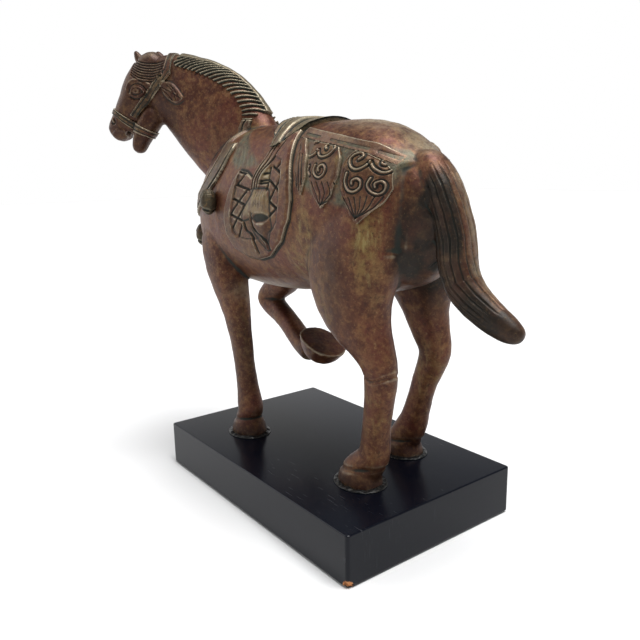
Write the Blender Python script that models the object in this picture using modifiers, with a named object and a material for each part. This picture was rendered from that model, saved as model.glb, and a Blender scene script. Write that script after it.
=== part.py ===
"""A bronze horse with one foreleg raised, bolted through its hooves to a black lacquered plinth."""

import math

import bmesh
import bpy
from mathutils import Matrix, Vector

MM = 0.001

# The plinth, its felt and the heights above it, in millimetres. The horse faces -X, its left flank -Y.
PLINTH_LENGTH = 260.0
PLINTH_WIDTH = 167.0
PLINTH_HEIGHT = 38.0
PLINTH_CORNER = 2.5
FELT_THICKNESS = 1.2
FELT_INSET = 2.0
DECK = FELT_THICKNESS + PLINTH_HEIGHT

# Gaps between pieces that touch in the real object.
GAP = 0.3
BED_GAP = 0.05

# The castings.
CORE_VENT_RADIUS = 1.5
VOXEL = 2.6
EASING_PASSES = 6
FORM_KEPT = 0.09  # share of the fused form's triangles that is kept

# The relief trappings.
STRAP_RAISE = 2.4
PANEL_RAISE = 2.0
SADDLE_RAISE = 5.0
MANE_RAISE = 1.8
BRIDLE_RAISE = 1.4

# The fixings: a stud in each planted hoof, with a washer and a nut in a counterbore under the plinth.
STUD_RADIUS = 2.4
STUD_DEPTH = 12.0  # into the hoof
STUD_CLEARANCE = 0.4
COUNTERBORE_RADIUS = 8.0
COUNTERBORE_DEPTH = 12.0
WASHER_RADIUS = 6.0
WASHER_THICKNESS = 1.2
NUT_ACROSS_FLATS = 8.0
NUT_HEIGHT = 4.0
BEAD_RADIUS = 1.6
HOOVES = {
    "left_fore": (-66.0, -37.0, 18.6, 15.8),
    "left_hind": (75.0, -25.0, 20.0, 16.6),
    "right_hind": (54.0, 40.0, 19.5, 16.2),
}

# Centre X, Y, height above the deck, half depth, half width, and turn to the horse's left in degrees.
TORSO = (
    (-158, 0, 184, 16, 12, 0),
    (-154, 0, 185, 32, 24, 0),
    (-143, 0, 189, 45, 36, 0),
    (-124, 0, 196, 58, 47, 0),
    (-95, 0, 201, 67, 54, 0),
    (-60, 0, 201, 70, 57, 0),
    (-20, 0, 201, 69, 56, 0),
    (20, 0, 203, 65, 54, 0),
    (52, 0, 204, 65, 53, 0),
    (82, 0, 204, 61, 50, 0),
    (104, 0, 201, 52, 41, 0),
    (120, 0, 197, 42, 29, 0),
    (130, 0, 194, 28, 18, 0),
    (135, 0, 192, 13, 9, 0),
)
NECK = (
    (-92, 0, 222, 46, 24, 0),
    (-112, 0, 243, 50, 24, 5),
    (-127, -8, 264, 49, 25, 14),
    (-141, -16, 281, 47, 24, 22),
    (-155, -25, 294, 41, 22, 30),
    (-170, -34, 305, 34.5, 20, 36),
    (-184, -43, 313, 30, 18, 42),
    (-196, -51, 318, 24, 16, 45),
)
HEAD = (
    (-186, -42, 338, 10, 12, 45),
    (-193, -49, 331, 17, 16, 45),
    (-197, -56, 311, 23, 18.5, 45),
    (-205, -63, 295, 19.5, 16, 45),
    (-215, -69.5, 281, 16, 14, 45),
    (-224, -75, 272, 13, 13, 45),
    (-229, -79, 267, 8, 10, 45),
)
JAW = (
    (-184, -50, 292, 13, 12, 45),
    (-190, -61, 276, 11, 11, 45),
    (-194, -68, 260, 8.5, 9, 45),
    (-195, -70, 249, 5.5, 7, 45),
)
LEFT_EAR = (
    (-206, -55, 332, 6, 5, 45),
    (-209, -58, 340, 4, 4, 45),
    (-211, -60, 346, 1.5, 2, 45),
)
RIGHT_EAR = (
    (-203, -35, 334, 6, 5, 45),
    (-207, -37, 341, 5, 4, 45),
    (-210, -38, 347, 2, 2, 45),
)
LEFT_FORELEG = (
    (-106, -32, 190, 28, 18, 0),
    (-102, -36, 162, 26, 17, 0),
    (-90, -38, 138, 21, 15.5, 0),
    (-82, -37, 120, 17, 12.5, 0),
    (-76, -37, 95, 13, 9.5, 0),
    (-71, -37, 72, 11, 8.5, 0),
    (-68, -37, 53, 10.5, 8.5, 0),
    (-64, -37, 33, 12, 10, 0),
    (-62, -37, 25, 13.5, 11.5, 0),
    (-64, -37, 18, 11.5, 10, 0),
    (-65, -37, 13, 14, 12.5, 0),
    (-66, -37, 5, 17.5, 15, 0),
    (-66, -37, -6, 19, 16, 0),
)
LEFT_HINDLEG = (
    (80, -18, 240, 28, 16, 0),
    (78, -24, 210, 42, 24, 0),
    (74, -29, 175, 45, 26, 0),
    (72, -31, 150, 41, 23, 0),
    (79, -30, 128, 32, 18, 0),
    (90, -28, 112, 18.5, 14, 0),
    (99, -26, 97, 14.5, 11.5, 0),
    (98, -24.5, 84, 14, 10.8, 0),
    (91.5, -22.5, 58, 10.5, 9.6, 0),
    (88, -21, 36, 11.8, 10.4, 0),
    (87.5, -21, 23, 13.5, 11.2, 0),
    (80, -22, 16, 13, 11.8, 0),
    (77, -24, 10, 17, 15, 0),
    (75, -25, 4, 19, 15.5, 0),
    (75, -25, -6, 20.5, 17, 0),
)
RIGHT_HINDLEG = (
    (80, 18, 240, 28, 16, 0),
    (78, 24, 210, 42, 24, 0),
    (76, 30, 175, 45, 26, 0),
    (79, 34, 150, 34, 20, 0),
    (79.5, 36, 132, 22, 15, 0),
    (83, 39, 112, 17.5, 12, 0),
    (87.5, 41, 97, 15.5, 10.5, 0),
    (87, 42, 88, 14, 10, 0),
    (76.5, 41, 69, 10.5, 8.5, 0),
    (69, 41, 38, 11, 9.2, 0),
    (63, 41, 23, 14.5, 11.5, 0),
    (57, 40, 16, 13, 11.5, 0),
    (55, 40, 9, 16.5, 14.5, 0),
    (54, 40, 4, 18.5, 15.5, 0),
    (54, 40, -6, 20, 16.5, 0),
)
RIGHT_FORELEG = (
    (-106, 32, 190, 28, 18, 0),
    (-98, 36, 162, 26, 17, 0),
    (-92, 36, 138, 20, 15.5, 0),
    (-108, 34, 124, 14.5, 13.5, 0),
    (-126, 32, 114, 13, 12.5, 0),
    (-135, 31, 106, 12.5, 12.5, 0),
    (-125, 31, 100, 12, 12, 0),
    (-108, 30, 95, 10, 10.5, 0),
    (-88, 28, 85, 10, 10, 0),
    (-70, 27, 73, 11, 11, 0),
    (-58, 26, 69, 11, 11.5, 0),
    (-46, 24, 67, 11, 12, 0),
)
RIGHT_HOOF = (
    (-38, 23, 66, 14, 13, 0),
    (-36, 23, 71.5, 19, 16, 0),
    (-32, 23, 81.5, 25, 19.5, 0),
)
TAIL = (
    (110, 0, 240, 9, 11, 0),
    (122, -1, 234, 10, 13, 0),
    (132, -1, 219, 11, 14.5, 0),
    (139, -0.5, 202, 11, 15, 0),
    (143, 0, 187, 11, 15, 0),
    (143, 0, 172, 12.5, 14.5, 0),
    (147, 1, 157, 13, 13, 0),
    (158, 3, 146, 12, 11.5, 0),
    (173, 5, 136, 10.5, 9.5, 0),
    (186, 6, 131, 8.5, 8, 0),
    (192, 7, 128, 4, 4, 0),
)

# Outlines in side view: X and height above the deck. Those of the head are in its own turned frame.
HEAD_TURN = 45.0
NECK_JOINT = ((-83, 300), (-87, 270), (-92, 246), (-102, 224), (-125, 206), (-148, 194.5), (-175, 189))
HEAD_JOINT = ((-134, 356), (-174, 252))
TAIL_JOINT = ((112, 266), (121, 238), (130, 219), (134.5, 200), (135, 184), (131, 165), (124, 140))
COLLAR = ((-88.9, 275), (-90.5, 268), (-88, 258), (-83, 248), (-88.5, 236), (-101, 224.5), (-127, 210),
          (-150, 199.5), (-175, 193.5), (-175, 184.5), (-147, 190), (-121, 200), (-95, 212), (-77, 224),
          (-67, 236), (-64, 250), (-70, 262), (-79, 272), (-81.5, 275))
MANE = ((-79, 300), (-80, 281), (-82, 275.4), (-88.7, 275.4), (-91.5, 284), (-99.5, 295), (-112, 305.5),
        (-128, 315), (-143.5, 321.5), (-160, 327), (-163, 350), (-60, 350))
SADDLE = ((-5, 249), (-8, 258), (-16, 266), (-24, 275), (-30, 300), (24, 300), (20, 272), (15, 262),
          (8, 256), (4, 250))
FLAP = ((16, 261.3), (23, 246), (31, 225), (33.5, 211), (30, 197), (18, 180), (-1, 167.5), (-17, 163.5),
        (-33, 164.5), (-50, 170), (-57.5, 181), (-59, 193), (-56, 203), (-50, 215), (-44, 225),
        (-38, 232.5), (-28, 231), (-17.5, 225.5), (-12.5, 233), (-7.5, 242), (-5.4, 248.5), (4.3, 249.5),
        (8.4, 255.7))
CRUPPER = ((20, 257), (64.5, 249.5), (93.5, 243), (113, 235), (115, 240.5), (96, 249), (66, 255.5),
           (20.5, 263))
PENDANTS = {
    "front": ((26, 255), (32, 254), (42.5, 242), (47.5, 227), (44, 214.5), (37.5, 222), (33, 240)),
    "middle": ((45, 251.5), (60, 249), (72, 246.5), (77, 239), (79, 228), (74, 214), (66.5, 206),
               (59.5, 213), (51, 228), (46, 240)),
    "rear": ((85, 244), (95, 241.5), (106, 236.5), (112.5, 230), (115, 219), (111.5, 209.5), (105, 203.5),
             (98.5, 197), (92.5, 202.5), (85, 213.5), (81, 225.5), (80.5, 237)),
}
NOSEBAND = ((-220, 297), (-206.5, 289), (-198, 284), (-184, 276), (-174, 271), (-158, 264), (-158, 258),
            (-176, 264.5), (-190, 270.5), (-200, 278), (-208, 284.5), (-220, 291.5))
HEADSTALL = ((-144.5, 345), (-148, 330), (-148, 319), (-163.5, 303.5), (-186, 281.5), (-192.5, 285),
             (-171.5, 307.5), (-154.5, 326), (-151.5, 350))
LEG_JOINTS = {  # height at X = 0, slope, and the X and Y range of the joint
    "left_foreleg": (88.0, 0.0, -120.0, -30.0, -80.0, -5.0),
    "left_hindleg": (94.5, 0.03, 40.0, 140.0, -80.0, -2.0),
    "right_hindleg": (118.0, 0.1, 40.0, 140.0, 10.0, 80.0),
}
RAISED_LEG_JOINT = (-111.0, 33.5, 121.5)
RAISED_LEG_AXIS = (-0.87, -0.08, -0.49)
RAISED_LEG_REACH = 18.5
CASTING_CENTRES = {
    "torso_casting": (0, 0, 200),
    "neck_casting": (-138, -14, 275),
    "head_casting": (-205, -62, 300),
    "tail_casting": (148, 1, 180),
    "left_foreleg_casting": (-69, -37, 45),
    "left_hindleg_casting": (86, -23, 45),
    "right_hindleg_casting": (75, 41, 60),
    "right_foreleg_casting": (-95, 30, 95),
}
# The hollow left by the core: the trunk's own sections drawn in by the wall, open through a vent at the neck.
CORE = ((-82, 0, 197, 58, 46, 0), *TORSO[5:10], (102, 0, 202, 52, 42, 0))
CORE_SHRINK = 7.0
CORE_VENT_HEIGHT = 230.0
CORE_VENT_FROM = -112.0
CORE_VENT_TO = -45.0
BELLS = {"left_side": (-80, -58, 207), "left_front": (-150, -29, 173), "right_front": (-150, 29, 173),
         "right_side": (-80, 58, 207)}
BELL_RADIUS = 8.0
BELL_LENGTH = 12.0  # from its centre to either end
HOOF_CORE_SHRINK = 3.0  # what the hoof keeps clear of the bead above the deck
HOOF_CORE_HEIGHT = 20.0


def new_collection(name):
    made = bpy.data.collections.new(name)
    bpy.context.scene.collection.children.link(made)
    return made


for old in list(bpy.data.objects):
    bpy.data.objects.remove(old)
STATUE = new_collection("bronze_horse")
CUTTERS = new_collection("cutters")
CUTTERS.hide_render = True


def material(name, colour, roughness, metallic):
    made = bpy.data.materials.new(name)
    made.use_nodes = True
    shader = made.node_tree.nodes["Principled BSDF"]
    shader.inputs["Base Color"].default_value = (*colour, 1)
    shader.inputs["Roughness"].default_value = roughness
    shader.inputs["Metallic"].default_value = metallic
    return made


BRONZE = material("patinated_bronze", (0.19, 0.105, 0.075), 0.48, 0.7)
DARK_BRONZE = material("dark_patina_bronze", (0.12, 0.085, 0.06), 0.55, 0.6)
LACQUER = material("black_lacquered_wood", (0.012, 0.013, 0.017), 0.3, 0.0)
FELT = material("black_felt", (0.02, 0.02, 0.022), 1.0, 0.0)
STEEL = material("zinc_plated_steel", (0.55, 0.55, 0.56), 0.35, 1.0)
RESIN = material("black_bedding_resin", (0.01, 0.01, 0.01), 0.2, 0.0)


def new_object(name, mesh, collection):
    made = bpy.data.objects.new(name, mesh)
    collection.objects.link(made)
    if collection is CUTTERS:
        made.hide_render = True
        made.display_type = "WIRE"
    return made


def from_bmesh(name, bm, collection=CUTTERS):
    bmesh.ops.recalc_face_normals(bm, faces=bm.faces)
    mesh = bpy.data.meshes.new(name)
    bm.to_mesh(mesh)
    bm.free()
    return new_object(name, mesh, collection)


def baked(source, name):
    """The helper as its modifiers leave it, as a plain mesh."""
    bpy.context.view_layer.update()
    graph = bpy.context.evaluated_depsgraph_get()
    mesh = bpy.data.meshes.new_from_object(source.evaluated_get(graph))
    bpy.data.objects.remove(source)
    return new_object(name, mesh, CUTTERS)


def finished(source, name, skin, smooth=True):
    """Takes a helper into the statue under its own name."""
    made = baked(source, name)
    CUTTERS.objects.unlink(made)
    STATUE.objects.link(made)
    made.hide_render = False
    made.display_type = "TEXTURED"
    made.data.materials.clear()
    made.data.materials.append(skin)
    if smooth:
        made.data.shade_smooth()
    return made


def boolean(target, other, operation, folded=False):
    step = target.modifiers.new(operation.lower(), "BOOLEAN")
    step.operation = operation
    step.solver = "EXACT"
    step.use_self = folded
    step.object = other


def copy_of(source, name):
    return new_object(name, source.data.copy(), CUTTERS)


def prism(name, outline, near, far, turn=0.0):
    """An outline in side view, drawn out along Y and turned about Z."""
    bm = bmesh.new()
    face = bm.faces.new([bm.verts.new(Vector((x, near, z + DECK)) * MM) for x, z in outline])
    drawn = bmesh.ops.extrude_face_region(bm, geom=[face])
    moved = [item for item in drawn["geom"] if isinstance(item, bmesh.types.BMVert)]
    bmesh.ops.translate(bm, verts=moved, vec=(0, (far - near) * MM, 0))
    bmesh.ops.rotate(bm, verts=bm.verts, cent=(0, 0, 0), matrix=Matrix.Rotation(math.radians(turn), 3, "Z"))
    return from_bmesh(name, bm)


def kerf(path):
    """A line in side view, widened to the gap that parts two castings."""
    return tuple(path) + tuple((x + GAP * 0.75, z - GAP * 0.75) for x, z in reversed(path))


def cylinder(name, x, y, low, high, radius, segments=20):
    bm = bmesh.new()
    place = Matrix.Translation(Vector((x, y, (low + high) / 2)) * MM)
    bmesh.ops.create_cone(bm, cap_ends=True, segments=segments, radius1=radius * MM, radius2=radius * MM,
                          depth=(high - low) * MM, matrix=place)
    return from_bmesh(name, bm)


def sections(stations, upright, sides, square, shrink):
    """Oval rings that stand across the path through the stations, or upright across X."""
    last = len(stations) - 1
    for i, (x, y, z, depth, width, turn) in enumerate(stations):
        along = Vector(stations[min(i + 1, last)][:3]) - Vector(stations[max(i - 1, 0)][:3])
        along = Vector((1, 0, 0)) if upright else along.normalized()
        yaw = math.radians(turn)
        lateral = Vector((-math.sin(yaw), math.cos(yaw), 0))
        lateral = (lateral - along * lateral.dot(along)).normalized()
        up = lateral.cross(along)
        ring = []
        for k in range(sides):
            c, s = math.cos(2 * math.pi * k / sides), math.sin(2 * math.pi * k / sides)
            across = math.copysign(abs(c) ** (2 / square), c) * (width - shrink)
            rise = math.copysign(abs(s) ** (2 / square), s) * (depth - shrink)
            ring.append((Vector((x, y, z + DECK)) + lateral * across + up * rise) * MM)
        yield ring


def tube(name, stations, rounding=1, upright=False, sides=16, square=2.2, shrink=0.0):
    """A closed tube through the stations, rounded by subdivision."""
    bm = bmesh.new()
    rings = [[bm.verts.new(point) for point in ring]
             for ring in sections(stations, upright, sides, square, shrink)]
    for a, b in zip(rings, rings[1:]):
        for k in range(sides):
            bm.faces.new((a[k], a[(k + 1) % sides], b[(k + 1) % sides], b[k]))
    bm.faces.new(rings[0])
    bm.faces.new(rings[-1])
    made = from_bmesh(name, bm)
    if rounding:
        step = made.modifiers.new("rounding", "SUBSURF")
        step.levels = step.render_levels = rounding
    return baked(made, name)


def fused_form():
    """The whole horse as one skin, cut level at the deck."""
    limbs = [tube("trunk", TORSO, upright=True, sides=24)]
    limbs += [tube("limb", stations) for stations in (NECK, HEAD, JAW, LEFT_EAR, RIGHT_EAR, LEFT_FORELEG,
                                                      LEFT_HINDLEG, RIGHT_HINDLEG, RIGHT_FORELEG, TAIL)]
    limbs.append(tube("hoof", RIGHT_HOOF, rounding=0))
    bm = bmesh.new()
    for limb in limbs:
        bm.from_mesh(limb.data)
        bpy.data.objects.remove(limb)
    made = from_bmesh("fused_form", bm)
    skin = made.modifiers.new("skin", "REMESH")
    skin.mode = "VOXEL"
    skin.voxel_size = VOXEL * MM
    ease = made.modifiers.new("ease", "SMOOTH")
    ease.iterations = EASING_PASSES
    thin = made.modifiers.new("thin", "DECIMATE")
    thin.ratio = FORM_KEPT
    made = baked(made, "fused_form")
    level = prism("below_deck", ((-300, -30), (300, -30), (300, BED_GAP), (-300, BED_GAP)), -200, 200)
    boolean(made, level, "DIFFERENCE")
    return baked(made, "fused_form")


def raised(form, amount):
    """The form grown outwards, to trim a relief piece to its thickness."""
    made = copy_of(form, "raised_form")
    grow = made.modifiers.new("grow", "DISPLACE")
    grow.strength = amount * MM
    grow.mid_level = 0
    return baked(made, "raised_form")


def relief(name, region, outer, inner, skin):
    """What lies inside the region between the grown form and the form's own clearance."""
    boolean(region, outer, "INTERSECT", folded=True)
    boolean(region, inner, "DIFFERENCE", folded=True)
    return finished(region, name, skin)


def saw_cuts():
    """Thin solids that part the form into its castings."""
    cuts = [prism("neck_joint", kerf(NECK_JOINT), -75, 75),
            prism("tail_joint", kerf(TAIL_JOINT), -28, 28),
            prism("head_joint", kerf(HEAD_JOINT), 55, 150, HEAD_TURN)]
    for name, (height, slope, x0, x1, near, far) in LEG_JOINTS.items():
        low = ((x0, height + slope * x0), (x1, height + slope * x1))
        high = tuple((x, z + GAP) for x, z in reversed(low))
        cuts.append(prism(name + "_joint", low + high, near, far))
    bm = bmesh.new()
    axis = Vector(RAISED_LEG_AXIS).normalized()
    place = Matrix.Translation(Vector(RAISED_LEG_JOINT[:2] + (RAISED_LEG_JOINT[2] + DECK,)) * MM)
    bmesh.ops.create_cone(bm, cap_ends=True, segments=32, radius1=RAISED_LEG_REACH * MM,
                          radius2=RAISED_LEG_REACH * MM, depth=GAP * MM,
                          matrix=place @ axis.to_track_quat("Z", "Y").to_matrix().to_4x4())
    cuts.append(from_bmesh("raised_leg_joint", bm))
    return cuts


def split_castings(form):
    """The form parted at its joints, each loose piece named for the centre it lies nearest."""
    parted = copy_of(form, "parted")
    for cut in saw_cuts():
        boolean(parted, cut, "DIFFERENCE")
    parted = baked(parted, "parted")
    bm = bmesh.new()
    bm.from_mesh(parted.data)
    bpy.data.objects.remove(parted)
    pieces = {}
    left = set(bm.verts)
    while left:
        island, edge = set(), {left.pop()}
        while edge:
            island |= edge
            edge = {e.other_vert(v) for v in edge for e in v.link_edges} - island
        left -= island
        middle = sum((v.co for v in island), Vector()) / len(island) / MM
        middle.z -= DECK
        name = min(CASTING_CENTRES, key=lambda n: (Vector(CASTING_CENTRES[n]) - middle).length)
        copy = bmesh.new()
        index = {v: copy.verts.new(v.co) for v in island}
        for face in {f for v in island for f in v.link_faces}:
            copy.faces.new([index[v] for v in face.verts])
        pieces.setdefault(name, []).append(from_bmesh(name, copy))
    bm.free()
    return pieces


def build_plinth():
    bm = bmesh.new()
    size = Matrix.Diagonal((PLINTH_LENGTH * MM, PLINTH_WIDTH * MM, PLINTH_HEIGHT * MM, 1))
    place = Matrix.Translation((0, 0, (FELT_THICKNESS + PLINTH_HEIGHT / 2) * MM))
    bmesh.ops.create_cube(bm, size=1, matrix=place @ size)
    upright = [e for e in bm.edges if abs(e.verts[0].co.z - e.verts[1].co.z) > MM]
    bmesh.ops.bevel(bm, geom=upright, offset=PLINTH_CORNER * MM, segments=4, affect="EDGES", profile=0.5)
    block = from_bmesh("block", bm)
    for name, (x, y, _, _) in HOOVES.items():
        hole = cylinder(name + "_hole", x, y, FELT_THICKNESS - 1, DECK + 1, STUD_RADIUS + STUD_CLEARANCE)
        bore = cylinder(name + "_bore", x, y, FELT_THICKNESS - 1, FELT_THICKNESS + COUNTERBORE_DEPTH,
                        COUNTERBORE_RADIUS)
        boolean(block, hole, "DIFFERENCE")
        boolean(block, bore, "DIFFERENCE")
    finished(block, "plinth", LACQUER, smooth=False)


def build_felt():
    bm = bmesh.new()
    top = FELT_THICKNESS - BED_GAP
    size = Matrix.Diagonal(((PLINTH_LENGTH - 2 * FELT_INSET) * MM, (PLINTH_WIDTH - 2 * FELT_INSET) * MM,
                            top * MM, 1))
    bmesh.ops.create_cube(bm, size=1, matrix=Matrix.Translation((0, 0, top / 2 * MM)) @ size)
    return finished(from_bmesh("pad", bm), "felt_pad", FELT, smooth=False)


def build_fixings():
    ceiling = FELT_THICKNESS + COUNTERBORE_DEPTH
    for name, (x, y, _, _) in HOOVES.items():
        washer_low = ceiling - BED_GAP - WASHER_THICKNESS
        nut_low = washer_low - BED_GAP - NUT_HEIGHT
        stud = cylinder("stud", x, y, nut_low - 1, DECK + STUD_DEPTH, STUD_RADIUS)
        finished(stud, name + "_stud", STEEL)
        washer = cylinder("washer", x, y, washer_low, washer_low + WASHER_THICKNESS, WASHER_RADIUS, 24)
        nut = cylinder("nut", x, y, nut_low, nut_low + NUT_HEIGHT,
                       NUT_ACROSS_FLATS / 2 / math.cos(math.pi / 6), 6)
        for piece, title in ((washer, "washer"), (nut, "nut")):
            bore = cylinder(title + "_bore", x, y, nut_low - 1, ceiling, STUD_RADIUS + BED_GAP * 2)
            boolean(piece, bore, "DIFFERENCE")
            finished(piece, f"{name}_{title}", STEEL, smooth=False)


def build_beads(form):
    """A rounded bead of resin on the deck around each planted hoof."""
    clear = raised(form, GAP)
    for name, (x, y, long, wide) in HOOVES.items():
        bm = bmesh.new()
        place = Matrix.Translation(Vector((x, y, DECK)) * MM)
        oval = Matrix.Diagonal(((long + BEAD_RADIUS * 2) * MM, (wide + BEAD_RADIUS * 2) * MM,
                                BEAD_RADIUS * 2 * MM, 1))
        bmesh.ops.create_uvsphere(bm, u_segments=24, v_segments=8, radius=1, matrix=place @ oval)
        bead = from_bmesh("bead", bm)
        below = prism("deck_side", ((-300, -30), (300, -30), (300, BED_GAP), (-300, BED_GAP)), -200, 200)
        boolean(bead, below, "DIFFERENCE")
        boolean(bead, clear, "DIFFERENCE")
        radius = min(long, wide) - HOOF_CORE_SHRINK
        core = cylinder("hoof_core", x, y, DECK - 1, DECK + HOOF_CORE_HEIGHT, radius)
        boolean(bead, core, "DIFFERENCE")
        finished(bead, name + "_bead", RESIN)


def build_castings(form):
    pieces = split_castings(form)
    for name, (piece,) in pieces.items():
        for hoof, (x, y, _, _) in HOOVES.items():
            if name.startswith(hoof):
                boolean(piece, cylinder(name + "_socket", x, y, DECK - 1, DECK + STUD_DEPTH + STUD_CLEARANCE,
                                        STUD_RADIUS + STUD_CLEARANCE), "DIFFERENCE")
        if name == "torso_casting":
            boolean(piece, tube("core", CORE, upright=True, sides=12, shrink=CORE_SHRINK), "DIFFERENCE")
            vent = cylinder("vent", 0, 0, CORE_VENT_FROM, CORE_VENT_TO, CORE_VENT_RADIUS, 12)
            vent.data.transform(Matrix.Translation((0, 0, (CORE_VENT_HEIGHT + DECK) * MM))
                                @ Matrix.Rotation(math.pi / 2, 4, "Y"))
            boolean(piece, vent, "DIFFERENCE")
        finished(piece, name, BRONZE)


def build_trappings(form):
    clear = raised(form, GAP)
    strap, panel, seat = (raised(form, amount) for amount in (STRAP_RAISE, PANEL_RAISE, SADDLE_RAISE))
    relief("mane", prism("mane_region", MANE, -70, 40), raised(form, MANE_RAISE), clear, DARK_BRONZE)
    relief("saddle", prism("saddle_region", SADDLE, -60, 60), seat, clear, DARK_BRONZE)
    for side, sign in (("left", -1), ("right", 1)):
        near, far = sorted((sign * 80, sign * GAP / 2))
        relief(f"collar_{side}", prism("collar_region", COLLAR, near, far), strap, clear, DARK_BRONZE)
        near, far = sorted((sign * 80, sign * 15))
        relief(f"saddle_flap_{side}", prism("flap_region", FLAP, near, far), strap, clear, BRONZE)
        region = prism("crupper_region", CRUPPER, near, far)
        relief(f"crupper_strap_{side}", region, strap, clear, DARK_BRONZE)
        for place, outline in PENDANTS.items():
            region = prism("pendant_region", outline, near, far)
            boolean(region, prism("crupper_clearance", grown(CRUPPER), near, far), "DIFFERENCE")
            relief(f"{place}_pendant_{side}", region, panel, clear, BRONZE)
    bridle = raised(form, BRIDLE_RAISE)
    relief("noseband", prism("noseband_region", NOSEBAND, 60, 145, HEAD_TURN), bridle, clear, DARK_BRONZE)
    relief("headstall", prism("headstall_region", HEADSTALL, 60, 145, HEAD_TURN), bridle, clear, DARK_BRONZE)


def grown(outline):
    """The crupper strap's outline with its lower edge let down by the gap."""
    half = len(outline) // 2
    return tuple((x, z - GAP) for x, z in outline[:half]) + outline[half:]


def build_bells(form):
    clear = raised(form, GAP)
    collar = raised(form, STRAP_RAISE + GAP)
    for name, (x, y, z) in BELLS.items():
        bm = bmesh.new()
        place = Matrix.Translation(Vector((x, y, z + DECK)) * MM)
        oval = Matrix.Diagonal((BELL_RADIUS * MM, BELL_RADIUS * MM, BELL_LENGTH * MM, 1))
        bmesh.ops.create_uvsphere(bm, u_segments=14, v_segments=8, radius=1, matrix=place @ oval)
        bell = from_bmesh("bell", bm)
        boolean(bell, clear, "DIFFERENCE")
        boolean(bell, collar_clearance(collar), "DIFFERENCE")
        finished(bell, "bell_" + name, DARK_BRONZE)


def collar_clearance(grown_form):
    """The collar's band with the gap round it, to keep the bells clear of it."""
    region = prism("collar_band", COLLAR, -90, 90)
    wide = region.modifiers.new("wide", "DISPLACE")
    wide.strength = GAP * MM * 1.5
    wide.mid_level = 0
    boolean(region, grown_form, "INTERSECT")
    return baked(region, "collar_band")


FORM = fused_form()
build_plinth()
build_felt()
build_fixings()
build_beads(FORM)
build_castings(FORM)
build_trappings(FORM)
build_bells(FORM)
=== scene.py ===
"""A bronze horse with one foreleg raised, dressed in relief trappings, on a black lacquered plinth."""

import math

import bmesh
import bpy
import numpy as np
from mathutils import Matrix, Vector
from mathutils.bvhtree import BVHTree
from mathutils.noise import noise


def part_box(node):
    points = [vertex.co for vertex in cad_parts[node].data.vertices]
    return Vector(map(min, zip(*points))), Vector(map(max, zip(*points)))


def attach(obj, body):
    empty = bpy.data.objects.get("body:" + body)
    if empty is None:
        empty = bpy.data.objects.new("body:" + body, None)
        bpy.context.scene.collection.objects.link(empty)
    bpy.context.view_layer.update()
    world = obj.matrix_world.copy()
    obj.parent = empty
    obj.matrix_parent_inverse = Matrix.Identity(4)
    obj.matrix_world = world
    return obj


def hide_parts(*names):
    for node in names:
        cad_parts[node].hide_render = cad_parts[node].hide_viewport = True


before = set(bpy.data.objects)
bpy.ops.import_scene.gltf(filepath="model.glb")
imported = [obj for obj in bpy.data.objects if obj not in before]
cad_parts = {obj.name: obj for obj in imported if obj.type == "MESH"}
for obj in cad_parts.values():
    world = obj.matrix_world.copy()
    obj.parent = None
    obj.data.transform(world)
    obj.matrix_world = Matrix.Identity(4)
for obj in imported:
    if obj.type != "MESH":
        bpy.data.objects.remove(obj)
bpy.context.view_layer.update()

MM = 0.001
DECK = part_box("plinth")[1].z / MM


# ---------------------------------------------------------------------------------------------------
# The horse's wax: trunk, neck, head, legs and tail, each drawn out as oval rings across its length.
# Heights are above the deck, in millimetres. The horse faces -X and its left flank -Y.
# A station is centre X, Y, height, half depth, half width, and turn to the horse's left in degrees.

TRUNK = (
    (-158, 0, 184, 16, 12, 0), (-154, 0, 185, 32, 24, 0), (-143, 0, 189, 45, 36, 0),
    (-124, 0, 196, 58, 47, 0), (-95, 0, 201, 67, 54, 0), (-60, 0, 201, 70, 57, 0),
    (-20, 0, 201, 69, 56, 0), (20, 0, 203, 65, 54, 0), (52, 0, 204, 65, 53, 0), (82, 0, 204, 61, 50, 0),
    (104, 0, 201, 52, 41, 0), (120, 0, 197, 42, 29, 0), (130, 0, 194, 28, 18, 0), (135, 0, 192, 13, 9, 0),
)
NECK = (
    (-92, 0, 222, 46, 24, 0), (-112, 0, 243, 50, 24, 5), (-127, -8, 264, 49, 25, 14),
    (-141, -16, 281, 47, 24, 22), (-155, -25, 294, 41, 22, 30), (-170, -34, 305, 34.5, 20, 36),
    (-184, -43, 313, 30, 18, 42), (-196, -51, 318, 24, 16, 45),
)
SKULL = (
    (-186, -42, 338, 10, 12, 45), (-193, -49, 331, 17, 16, 45), (-197, -56, 311, 23, 18.5, 45),
    (-205, -63, 295, 19.5, 16, 45), (-215, -69.5, 281, 16, 14, 45), (-224, -75, 272, 13, 13, 45),
    (-229, -79, 267, 8, 10, 45),
)
JAW = ((-184, -50, 292, 13, 12, 45), (-190, -61, 276, 11, 11, 45), (-194, -68, 260, 8.5, 9, 45),
       (-195, -70, 249, 5.5, 7, 45))
NEAR_EAR = ((-206, -55, 332, 6, 5, 45), (-209, -58, 340, 4, 4, 45), (-211, -60, 346, 1.5, 2, 45))
FAR_EAR = ((-203, -35, 334, 6, 5, 45), (-207, -37, 341, 5, 4, 45), (-210, -38, 347, 2, 2, 45))
LEFT_FORELEG = (
    (-106, -32, 190, 28, 18, 0), (-102, -36, 162, 26, 17, 0), (-90, -38, 138, 21, 15.5, 0),
    (-82, -37, 120, 17, 12.5, 0), (-76, -37, 95, 13, 9.5, 0), (-71, -37, 72, 11, 8.5, 0),
    (-68, -37, 53, 10.5, 8.5, 0), (-64, -37, 33, 12, 10, 0), (-62, -37, 25, 13.5, 11.5, 0),
    (-64, -37, 18, 11.5, 10, 0), (-65, -37, 13, 14, 12.5, 0), (-66, -37, 5, 17.5, 15, 0),
    (-66, -37, -6, 19, 16, 0),
)
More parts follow.
